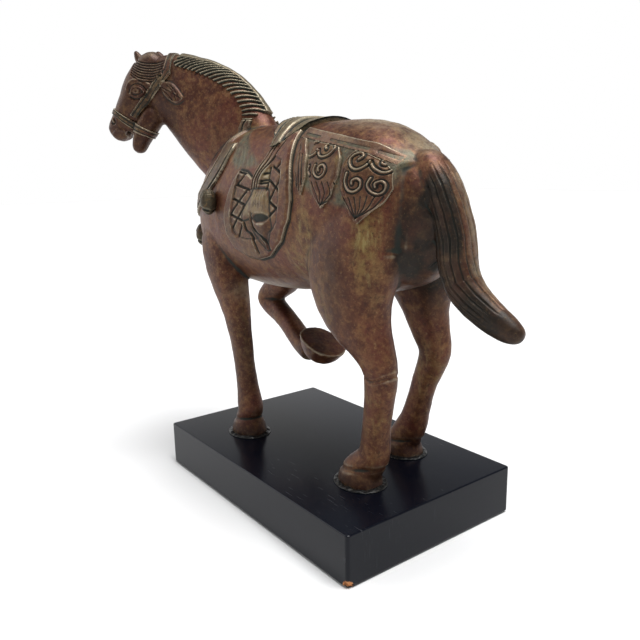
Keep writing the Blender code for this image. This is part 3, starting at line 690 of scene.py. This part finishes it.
# Mane: a cropped crest in slanted locks cut on both sides, with a smooth rim along its top.
CREST = (
    (-166, 333), (-152, 331), (-137, 326.5), (-121, 319), (-108.5, 311), (-95.5, 299), (-86, 286),
    (-83, 276),
)
CREST_MIDDLE = (
    (-205, -45), (-170, -44), (-152, -33), (-137, -22), (-121, -13), (-108, -7), (-95, -2), (-85, 0),
)
MANE_LOCK = 4.9
MANE_RIM = 4.0  # the rim runs a little to the far side of the crest


def mane_height(view, at):
    gap, along = away(view, flowing(CREST))
    lateral = at[:, 1] - np.interp(at[:, 0], *zip(*CREST_MIDDLE))
    slope = 1.0 - 0.65 * ease(along, 15, 105)
    phase = ((along + np.abs(lateral - MANE_RIM) * slope) / MANE_LOCK) % 1
    lock = ease(np.abs(phase - 0.5), 0.30, 0.42)
    field = ease(np.abs(lateral - MANE_RIM), 2.6, 3.8)
    rim = 2.0 + 1.0 * (1 - ease(np.abs(lateral - MANE_RIM), 0, 7))
    return rim - field * (1 - lock) * 2.2, field * (1 - lock)


laid("mane", 0.58, 1.8, mane_height, easing=3,
     tones=lambda view, at: {"gold": 0.1, "moss": 0.3, "pale": 0.35})

# Collar: a breast strap round the foot of the neck, edged by two grooves.
COLLAR_FRONT = ((-88.9, 275), (-90.5, 268), (-88, 258), (-83, 248), (-88.5, 236), (-101, 224.5), (-127, 210),
                (-150, 199.5), (-175, 193.5))
COLLAR_BACK = (
    (-175, 184.5), (-147, 190), (-121, 200), (-95, 212), (-77, 224), (-67, 236), (-64, 250), (-70, 262),
    (-79, 272),
)


def collar_height(view, at):
    front, _ = away(view, flowing(COLLAR_FRONT))
    back, _ = away(view, flowing(COLLAR_BACK))
    groove = np.maximum(1 - ease(np.abs(front - 2.2), 0, 0.9), 1 - ease(np.abs(back - 2.6), 0.4, 1.6))
    sunk = ease(view[:, 0], -84, -78) * ease(at[:, 2], 252, 260)
    return (2.4 - groove * 1.6) * (1 - sunk) - 4 * sunk, groove * (1 - sunk)


for part in ("collar_left", "collar_right"):
    laid(part, 0.7, 2.4, collar_height, look=BRONZE,
         tones=lambda view, at: {"moss": 0.35, "umber": 0.1})

# Saddle: a low seat behind a broad rolled rim that runs down into the skirt on each side.
SADDLE_FRONT = ((-5, 249), (-8, 258), (-16, 266), (-24, 275), (-30, 300))
SADDLE_BACK = ((4, 250), (8, 256), (15, 262), (20, 272), (24, 300))
SADDLE_RIM = 11.5


def saddle_height(view, at):
    front, _ = away(view, flowing(SADDLE_FRONT))
    back, _ = away(view, flowing(SADDLE_BACK))
    rim = 1 - ease(front, SADDLE_RIM - 2.5, SADDLE_RIM)
    crease = 1 - ease(np.abs(front - SADDLE_RIM), 0, 1.6)
    level = 3.0 + 2.2 * rim * ease(front, 0, 2.5) - 1.9 * crease
    groove = 1 - ease(np.abs(front - 3.6), 0, 0.9)
    level = level - groove * 0.8 + 0.9 * (1 - ease(back, 0.6, 2.6)) * (1 - rim)
    return level, np.maximum(crease, groove * 0.5)


laid("saddle", 0.8, 5.0, saddle_height,
     tones=lambda view, at: {"gold": 0.25, "moss": 0.2, "pale": 0.15 + 0.5 * ease(at[:, 2], 260, 272)})

# Saddle flaps: lattice-quilted panels in a rolled border, with a striped skirt and a knotted cloth.
LATTICE = (
    (16, 239), (20, 228), (20.5, 210), (17.5, 195), (10, 188), (-10, 181), (-26, 179.5), (-39, 180.5),
    (-45, 184.5), (-46.5, 192), (-45.5, 199), (-41.5, 210.5), (-38, 221), (-37, 232), (-27, 231),
    (-17, 226), (-12, 234), (-4, 244),
)
LATTICE_CUTS = (
    ((-27, 230), (-40, 219)), ((-21.5, 217.5), (-33.5, 208.5), (-45.5, 199)),
    ((-25, 205.5), (-35, 196.5), (-45, 188)), ((-30.5, 191), (-37, 182)), ((20, 241), (11.5, 233)),
    ((20, 226.5), (8.5, 210.5)), ((22, 208), (7, 198.5)), ((4.5, 233), (5.5, 224), (4, 216)),
    ((-2, 229.5), (4.5, 229.8)), ((-6.5, 224), (5, 225)),
)
LATTICE_LIPS = (
    ((-38, 231), (-27, 229.5)), ((-38, 221), (-18.5, 217.5)), ((-42, 210.5), (-24.5, 206)),
    ((-46, 198), (-30, 194)), ((7.5, 234), (19, 229.5)), ((6.5, 224.5), (15, 219.5), (21.5, 216.5)),
    ((8, 209.5), (16.5, 205), (20, 203.5)), ((-9.5, 222), (4, 222.7)),
)
SKIRT_CUTS = (
    ((-1.5, 250), (-4, 241), (-10, 232.5), (-14.5, 225), (-14, 218)),
    ((2.5, 249), (0, 239), (-7, 231.5), (-11, 225), (-11, 218.5)),
    ((11, 252), (5, 239), (-3, 232), (-7.8, 226), (-8.2, 219.5)),
)
KNOT = (
    (-11, 217.5), (6, 217.5), (7.5, 210), (8.5, 200), (9, 190), (4, 180), (1.5, 174), (-8, 181),
    (-15, 188), (-18, 196), (-28, 195), (-26, 202), (-18, 210),
)
KNOT_HOLLOW = ((-14, 196.5), (-7, 200.5), (3, 200.5), (7.5, 197.5), (2, 194.5), (-7, 193.5))
CLOTH_FOLDS = (
    ((-15.5, 201), (-17, 194), (-12, 187.5), (-4, 184), (0.5, 179), (1, 174.5)),
    ((-29, 193), (-26, 187), (-20, 184.5), (-17.5, 179.5), (-15.5, 171)),
)


def flap_height(view, at):
    depth = within(view, FLAP)
    field = ease(within(view, LATTICE), -0.8, 0.6)
    level = 2.3 + 1.3 * ease(depth, 0.5, 3.2) * (1 - field) - 0.7 * field
    seam = np.full(len(view), 9.0)
    for cut in LATTICE_CUTS + LATTICE_LIPS:
        seam = np.minimum(seam, away(view, np.array(cut, float))[0])
    cut_in = 1 - ease(seam, 0.25, 0.95)
    level += field * (0.9 * ease(seam, 0.3, 2.4) - 1.0 * cut_in)
    dark = field * cut_in
    for lip in LATTICE_LIPS:
        level += field * line(view - np.array((0.4, -1.4)), lip, 1.5, smooth=False) * 0.8
    skirt = 1 - ease(away(view, flowing(SKIRT_CUTS[1]))[0], 4.2, 5.6)
    level, dark = level * (1 - skirt) + 3.3 * skirt, dark * (1 - skirt)
    for cut in SKIRT_CUTS:
        stripe = line(view, cut, 2.0)
        level, dark = level - stripe * 1.5, np.maximum(dark, stripe)
    inside = within(view, flowing([*KNOT, KNOT[0]]))
    knot = ease(inside, -0.6, 2.2)
    dark = np.maximum(dark * (1 - knot), 0.7 * (1 - ease(np.abs(inside + 0.8), 0, 1.4)))
    level = level * (1 - knot) + (3.2 + 1.4 * ease(inside, 1, 7)) * knot
    hollow = ease(within(view, flowing([*KNOT_HOLLOW, KNOT_HOLLOW[0]])), -0.8, 1.2)
    tongue = 1 - ease(np.hypot((view[:, 0] + 1.5) / 6.5, (view[:, 1] - 193) / 2.2), 0.3, 1.0)
    level += 0.9 * tongue - 1.4 * hollow
    dark = np.maximum(dark, hollow * (1 - tongue) * 0.5)
    for fold in CLOTH_FOLDS:
        trough = line(view - np.array((2.6, -0.6)), fold, 3.2)
        level += line(view, fold, 2.0) * 1.2 - trough * 1.0
        dark = np.maximum(dark, trough * 0.8)
    for k in range(5):
        level -= line(view, ((-8 + 3 * k, 216.5), (-9 + 3.4 * k, 210), (-9 + 3.4 * k, 205)), 1.3) * 0.5
    return level, dark


def flap_tones(view, at):
    knot = ease(within(view, KNOT), -1, 2) * ease(view[:, 1], 196, 203)
    stepped = ease(within(view, ((-9, 222), (4.5, 222), (5, 232), (-2, 232))), -1, 1)
    low = ease(within(view, KNOT), -1, 2) * (1 - ease(view[:, 1], 186, 196))
    return {"gold": knot * 0.7 + stepped * 0.7, "moss": 0.12 + 0.12 * (1 - ease(view[:, 0], -40, -10)),
            "umber": low * 0.4, "pale": knot * 0.45 + stepped * 0.3}


for part in ("saddle_flap_left", "saddle_flap_right"):
    laid(part, 0.68, 2.4, flap_height, easing=4, look=BRONZE, tones=flap_tones)

# Crupper strap: a flat strap from the cantle to the dock, with a bead along its upper edge.
CRUPPER_SLITS = (
    ((24, 257.7), (44, 254.4)), ((58, 252.0), (76, 248.5), (92, 244.9)), ((99, 242.9), (111, 238.4)),
)


def crupper_height(view, at):
    gap, _ = away(view, flowing(((18, 262.5), (64.5, 255.5), (95, 249), (114, 240.5))))
    slits = np.zeros(len(view))
    for slit in CRUPPER_SLITS:
        slits = np.maximum(slits, line(view, slit, 2.6))
    return (0.45 + 1.2 * (1 - ease(gap, 0, 4.6))) * (1 - ease(view[:, 0], 100, 113)) - slits * 1.0, slits


for part in ("crupper_strap_left", "crupper_strap_right"):
    laid(part, 0.7, 2.4, crupper_height, easing=9, look=BRONZE,
         tones=lambda view, at: {"pale": 0.2})

# Pendants: three leaf-shaped plates hung from the strap, carved with scrolls and fanned veins.
FRONT_VEINS = (
    ((31, 241), (36, 230), (40.5, 219)), ((34.5, 243), (39.5, 231), (43, 218)),
    ((38, 242), (42.5, 232), (45, 222)), ((29.5, 249), (33, 245)),
)
MIDDLE_SCROLLS = (
    ((50, 250.5), (44.5, 248.5), (43.5, 244), (46.5, 240.5), (51, 241), (54.5, 244)),
    (
        (54.5, 244), (57.5, 240.5), (62, 239.5), (67, 241), (69.3, 244.5), (66.5, 248), (62, 248.5),
        (60.2, 246), (62.5, 244.5),
    ),
    (
        (57, 234.5), (56.5, 230.5), (59, 227.5), (63, 226.5), (66.5, 228.5), (67, 232), (64, 234.5),
        (60.8, 233), (61.5, 230.5),
    ),
    ((50.5, 234), (50.5, 230.5), (53, 228)),
)
MIDDLE_VEINS = tuple(((65.5, 208), (61.5 + 4.2 * k, 216), (55.5 + 5.2 * k, 223.5)) for k in range(5))
REAR_SCROLL = (
    (
        (91, 237), (92.8, 239), (90.5, 241.2), (87, 240.5), (85, 237.5), (87, 233), (91.5, 231),
        (95.5, 232.5), (98, 235.5),
    ),
    (
        (98, 235.5), (101.5, 231.5), (106, 228.8), (109.5, 229), (111.3, 231.5), (109.8, 235),
        (107.3, 237.2), (104.8, 237), (104.6, 234.5), (106.6, 233.5),
    ),
)
REAR_SPIRALS = (
    (
        (85.5, 229), (85.5, 223), (88.3, 218.5), (92.5, 217.3), (95.8, 219.5), (96, 223.3), (93.4, 225.5),
        (90.6, 224.4), (90.6, 222),
    ),
    (
        (101.5, 225.5), (100.3, 221.5), (102.5, 217.5), (106.8, 215.3), (110, 217.5), (110.3, 221.3),
        (107.6, 223.5), (104.6, 222.4), (105, 220),
    ),
)
REAR_VEINS = tuple(((96.5, 200), (90.5 + 2.7 * k, 207), (85 + 4.2 * k, 214)) for k in range(7))


def scrolled(view, level, dark, scrolls, width=1.2):
    """Scrolls raised as fine ridges, each in its own shallow trench."""
    for scroll in scrolls:
        gap, _ = away(view, flowing(scroll))
        ridge, trench = 1 - ease(gap, 0.25, 0.9), 1 - ease(np.abs(gap - width), 0.1, 0.8)
        level = level + ridge * 0.9 - trench * 0.7
        dark = np.maximum(dark * (1 - ridge), trench * 0.75)
    return level, dark


def veined(view, level, dark, veins, width=1.2, depth=0.8):
    """Veins cut as plain grooves."""
    for vein in veins:
        cut_in = line(view, vein, width)
        level, dark = level - cut_in * depth, np.maximum(dark, cut_in * 0.8)
    return level, dark


def plate(view, outline):
    """The upper face of a crowned plate with a fine raised edge, which has nothing dark in it yet."""
    depth = within(view, outline)
    level = 1.5 + 0.9 * ease(depth, 0.4, 3.6) + 0.5 * (1 - ease(np.abs(depth - 1.0), 0, 0.9))
    return level, view[:, 0] * 0


PENDANTS = {
    "front": (
        (26, 255), (32, 254), (42.5, 242), (47.5, 227), (44, 214.5), (37.5, 222), (33, 240),
    ),
    "middle": (
        (45, 251.5), (60, 249), (72, 246.5), (77, 239), (79, 228), (74, 214), (66.5, 206), (59.5, 213),
        (51, 228), (46, 240),
    ),
    "rear": (
        (85, 244), (95, 241.5), (106, 236.5), (112.5, 230), (115, 219), (111.5, 209.5), (105, 203.5),
        (98.5, 197), (92.5, 202.5), (85, 213.5), (81, 225.5), (80.5, 237),
    ),
}


def front_height(view, at):
    return veined(view, *plate(view, PENDANTS["front"]), FRONT_VEINS, width=1.7, depth=1.0)


def middle_height(view, at):
    level, dark = scrolled(view, *plate(view, PENDANTS["middle"]), MIDDLE_SCROLLS)
    return veined(view, level, dark, MIDDLE_VEINS)


def rear_height(view, at):
    level, dark = scrolled(view, *plate(view, PENDANTS["rear"]), REAR_SCROLL)
    level, dark = scrolled(view, level, dark, REAR_SPIRALS)
    return veined(view, level, dark, REAR_VEINS)


for place, shape in (("front", front_height), ("middle", middle_height), ("rear", rear_height)):
    for hand in ("left", "right"):
        laid(f"{place}_pendant_{hand}", 0.46, 2.0, shape, easing=5, look=BRONZE,
             tones=lambda view, at: {"gold": 0.3 * ease(view[:, 1], 226, 240), "moss": 0.12, "umber": 0.12})

# Bridle: a noseband and a cheek strap, each with a fine groove inside its edges.
NOSEBAND_LINE = ((-220, 294.2), (-207, 286.8), (-199, 281), (-187, 273.2), (-175, 267.7), (-158, 261))
CHEEK_LINE = ((-148, 346), (-151, 322.5), (-167.5, 305.5), (-189.2, 283.2))


def strap_height(path, half):
    def height(view, at):
        turned = head_frame(at)[0]
        gap, _ = away(turned, np.array(path, float))
        groove = 1 - ease(np.abs(gap - half + 1.3), 0, 0.7)
        return 1.5 - 0.5 * groove, groove * 0.8
    return height


laid("noseband", 0.5, 1.4, strap_height(NOSEBAND_LINE, 2.9), easing=3)
laid("headstall", 0.5, 1.4, strap_height(CHEEK_LINE, 3.4), easing=3)


# ---------------------------------------------------------------------------------------------------
# Bells: four small bronze bells on the breast strap, two on each side. Each is a slit ball under a
# fluted cap, turned from one profile.

BELL_PROFILE = (
    (0, 10.8), (2.2, 10.6), (4.0, 9.6), (4.4, 8.6), (5.2, 7.8), (5.4, 6.8), (6.2, 6.0), (6.3, 5.0),
    (6.9, 4.2), (6.6, 3.2), (7.0, 1.0), (6.9, -2.2), (6.2, -5.4), (4.8, -8.2), (2.6, -10.2), (0, -10.9),
)


def bell(node):
    low, high = (Vector(c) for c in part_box(node))
    centre = (low + high) / 2
    bm = bmesh.new()
    chain = [bm.verts.new(Vector((r, 0, z)) * MM) for r, z in BELL_PROFILE]
    edges = [bm.edges.new(pair) for pair in zip(chain, chain[1:])]
    bmesh.ops.spin(bm, geom=chain + edges, cent=(0, 0, 0), axis=(0, 0, 1), angle=math.tau, steps=36,
                   use_merge=True)
    bmesh.ops.remove_doubles(bm, verts=bm.verts, dist=0.00001)
    bmesh.ops.recalc_face_normals(bm, faces=bm.faces)
    mesh = bpy.data.meshes.new(node)
    bm.to_mesh(mesh)
    bm.free()
    mesh = shaped(mesh, SUBSURF={"levels": 2, "render_levels": 2})
    at = np.array([v.co for v in mesh.vertices]) / MM
    slit = 1 - ease(np.abs(at[:, 0] * 0.35 + at[:, 2] + 5.5), 0.5, 1.3)
    slit *= 1 - ease(np.abs(at[:, 0]), 4.5, 5.5)
    flutes = ease(at[:, 2], 3.2, 4.2) * np.cos(np.arctan2(at[:, 1], at[:, 0]) * 10) * 0.25
    shrink = 1 + (flutes - slit * 1.3) / np.maximum(np.hypot(at[:, 0], at[:, 1]), 1.5)
    at[:, :2] *= shrink[:, None]
    at = at + np.array(centre) / MM
    at[:, 2] -= DECK
    put_back(mesh, at)
    mesh.shade_smooth()
    mesh.materials.append(DARK_BRONZE)
    weathered(mesh)
    toned(mesh, moss=0.25, umber=0.3)
    piece = made_object(node + "_cast", mesh)
    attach(piece, "root")
    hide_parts(node)


for node in ("bell_left_side", "bell_left_front", "bell_right_front", "bell_right_side"):
    bell(node)


# ---------------------------------------------------------------------------------------------------
# Plinth: a block of wood with eased edges, in black satin lacquer. One lower corner is chipped to the
# bare wood, and the top has a faint ring mark and fine scratches.

def lacquer():
    made, shader, place = new_material("black_satin_lacquer", Specular_IOR_Level=0.20)
    haze = place.noise(9, 3, 0.5)
    dust = place.noise(900, 2, 0.6)
    slanted = place.node("ShaderNodeMapping", Vector=place, Rotation=(0, 0, 0.7), Scale=(60, 1200, 60))
    rub = slanted.noise(1, 3, 0.5).between(0.66, 0.74) * haze.between(0.52, 0.66)
    chip = place.node("ShaderNodeVectorMath", {"operation": "DISTANCE"}, out=1, _0=place, _1=CHIP_AT)
    bare = 1 - (chip + 0.003 * (dust - 0.5)).between(0.0048, 0.0056)
    ring = place.node("ShaderNodeVectorMath", {"operation": "DISTANCE"}, out=1, _0=place, _1=RING_AT)
    mark = ring.between(0.0215, 0.0225) * (1 - ring.between(0.0225, 0.0240)) * haze.between(0.45, 0.60)
    grain = place.node("ShaderNodeMapping", Vector=place, Scale=(900, 900, 90)).noise(1, 3, 0.6)
    wood = grain.between(0.35, 0.65).over(rgb(0.36, 0.13, 0.045), rgb(0.52, 0.24, 0.10))
    colour = (rub * 0.4).over(rgb(0.0022, 0.0030, 0.0062), rgb(0.05, 0.052, 0.058))
    colour = (mark * 0.5).over(colour, rgb(0.03, 0.026, 0.022))
    colour = bare.over(colour, wood)
    rough = 0.13 + 0.12 * haze + 0.25 * rub + 0.10 * mark + 0.5 * bare
    height = dust * 0.4 + haze * 0.6 - rub
    bump = place.node("ShaderNodeBump", Strength=0.12, Distance=0.0004, Height=height)
    joined(shader, Base_Color=colour, Roughness=rough, Normal=bump)
    return made


def eased_block(node, chosen, ease_by, segments):
    """A copy of the node's block with its chosen square edges eased. chosen(corner) says which."""
    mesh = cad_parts[node].data.copy()
    bm = bmesh.new()
    bm.from_mesh(mesh)
    bmesh.ops.remove_doubles(bm, verts=bm.verts, dist=0.00001)
    bmesh.ops.dissolve_limit(bm, angle_limit=math.radians(1), verts=bm.verts, edges=bm.edges)
    arris = [e for e in bm.edges if len(e.link_faces) == 2 and e.calc_face_angle() > math.radians(60)
             and all(chosen(v.co) for v in e.verts)]
    bmesh.ops.bevel(bm, geom=arris, offset=ease_by * MM, segments=segments, profile=0.5, affect="EDGES",
                    material=-1)
    bm.to_mesh(mesh)
    bm.free()
    return mesh


low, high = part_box("plinth")
CHIP_AT = (high.x, low.y, low.z)
RING_AT = (-0.035, -0.020, high.z)
LACQUER = lacquer()
block = eased_block("plinth", lambda at: abs(abs(at.x) - high.x) < 0.004 or abs(abs(at.y) - high.y) < 0.004,
                    ease_by=1.1, segments=4)
chisel = bmesh.new()
bmesh.ops.create_icosphere(chisel, subdivisions=3, radius=4.2 * MM, matrix=Matrix.Translation(CHIP_AT))
for v in chisel.verts:
    v.co += (v.co - Vector(CHIP_AT)) * noise(v.co * 420) * 0.6
chisel_mesh = bpy.data.meshes.new("chip")
chisel.to_mesh(chisel_mesh)
chisel.free()
chip_tool = made_object("chip", chisel_mesh)
chip_tool.hide_render = True
block = shaped(block, BOOLEAN={"object": chip_tool, "operation": "DIFFERENCE", "solver": "EXACT"})
bpy.data.objects.remove(chip_tool)
block.materials.clear()
block.materials.append(LACQUER)
piece = made_object("lacquered_plinth", block)
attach(piece, "root")
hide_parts("plinth")


# ---------------------------------------------------------------------------------------------------
# Below the horse: the felt pad under the plinth, the zinc-plated steel studs, washers and nuts that hold
# the planted hooves, and the black resin bead that beds each of those hooves.

def felt():
    made, shader, place = new_material("black_felt_nap", Roughness=1.0, Sheen_Weight=0.3)
    fuzz = place.noise(1400, 5, 0.7)
    joined(shader, Base_Color=fuzz.between(0.3, 0.7).over(rgb(0.012, 0.012, 0.013), rgb(0.035, 0.035, 0.038)),
           Normal=place.node("ShaderNodeBump", Strength=0.6, Distance=0.0004, Height=fuzz))
    return made


def zinc():
    made, shader, place = new_material("zinc_plated_steel_bright", Metallic=1.0)
    spangle = place.noise(300, 3, 0.6)
    joined(shader, Base_Color=spangle.over(rgb(0.50, 0.50, 0.49), rgb(0.66, 0.66, 0.68)),
           Roughness=0.28 + 0.2 * spangle)
    return made


def resin():
    made, shader, place = new_material("black_resin", Specular_IOR_Level=0.25)
    speck = place.noise(800, 3, 0.6)
    dusty = speck.between(0.6, 0.7)
    lumps = place.node("ShaderNodeBump", Strength=0.5, Distance=0.0006, Height=place.noise(420, 3, 0.6))
    joined(shader, Base_Color=(dusty * 0.6).over(rgb(0.006, 0.006, 0.006), rgb(0.14, 0.12, 0.09)),
           Roughness=0.3 + 0.4 * dusty, Normal=lumps)
    return made


FELT, ZINC, RESIN = felt(), zinc(), resin()
mesh = eased_block("felt_pad", lambda at: at.z > 0.0005, ease_by=0.3, segments=2)
mesh.materials.clear()
mesh.materials.append(FELT)
pad = made_object("felt_sheet", mesh)
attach(pad, "root")
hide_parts("felt_pad")
low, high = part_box("felt_pad")
for hoof in ("left_fore", "left_hind", "right_hind"):
    for part in ("stud", "washer", "nut"):
        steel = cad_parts[f"{hoof}_{part}"].data
        steel.materials.clear()
        steel.materials.append(ZINC)
    mesh = regrained(f"{hoof}_bead", 0.55, easing=3)
    at, n = positions(mesh), normals(mesh)
    lumps = np.array([noise(Vector(p) / 4.5) * 0.9 + noise(Vector(p) / 1.8) * 0.3 for p in at])
    at += n * (lumps * ease(at[:, 2], 0.2, 1.2))[:, None]
    put_back(mesh, at)
    mesh.shade_smooth()
    mesh.materials.clear()
    mesh.materials.append(RESIN)
    piece = made_object(hoof + "_bedding", mesh)
    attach(piece, "root")
    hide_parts(hoof + "_bead")


# ---------------------------------------------------------------------------------------------------
# The studio: a pale paper floor, a broad soft light from overhead and a weaker one from the left, in a
# grey surround that is white low down and brightest behind the statue.

floor_mesh = bpy.data.meshes.new("floor")
bm = bmesh.new()
bmesh.ops.create_grid(bm, x_segments=1, y_segments=1, size=6)
bm.to_mesh(floor_mesh)
bm.free()
floor = made_object("floor", floor_mesh)
paper, shader, place = new_material("pale_paper", Roughness=0.9, Specular_IOR_Level=0.1)
shader.inputs["Base Color"].default_value = rgb(0.66, 0.66, 0.66)
floor_mesh.materials.append(paper)

world = bpy.data.worlds.new("studio")
bpy.context.scene.world = world
world.use_nodes = True
sky = world.node_tree.nodes["Background"]
direction = Wire(world.node_tree, None).node("ShaderNodeTexCoord", out=0)
upward = Wire(world.node_tree, direction.node("ShaderNodeSeparateXYZ", out=2, Vector=direction).socket)
behind = direction.node("ShaderNodeVectorMath", {"operation": "DOT_PRODUCT"}, out=1,
                        _0=direction, _1=(-0.78, 0.59, 0))
white = (1 - upward.between(0.27, 0.45)) * (0.4 + 0.6 * behind.between(-0.2, 0.5))
world.node_tree.links.new(white.over(rgb(0.17, 0.175, 0.185), rgb(1.0, 1.0, 1.0)).socket, sky.inputs["Color"])
sky.inputs["Strength"].default_value = 1.0


def sun(name, towards, strength, softness):
    lamp = bpy.data.lights.new(name, "SUN")
    lamp.energy, lamp.angle = strength, math.radians(softness)
    stand = bpy.data.objects.new(name, lamp)
    bpy.context.scene.collection.objects.link(stand)
    stand.rotation_euler = Vector(towards).to_track_quat("-Z", "Y").to_euler()


sun("key", (-0.25, -0.10, -1.0), 4.8, 35)
sun("fill", (0.75, 0.60, -0.6), 1.1, 60)

CAMERA_AT = (0.43289, -0.33124, 0.27152)
CAMERA_RIGHT = (0.60585, 0.79540, -0.01700)
CAMERA_UP = (-0.16478, 0.14636, 0.97541)
CAMERA_BACK = (0.77833, -0.58815, 0.21974)
eye = bpy.data.cameras.new("camera")
eye.sensor_width, eye.lens, eye.clip_start = 36, 37.63, 0.01
camera = bpy.data.objects.new("camera", eye)
bpy.context.scene.collection.objects.link(camera)
turn = Matrix((CAMERA_RIGHT, CAMERA_UP, CAMERA_BACK)).transposed().to_4x4()
camera.matrix_world = Matrix.Translation(CAMERA_AT) @ turn
bpy.context.scene.camera = camera
bpy.context.scene.view_settings.view_transform = "Standard"
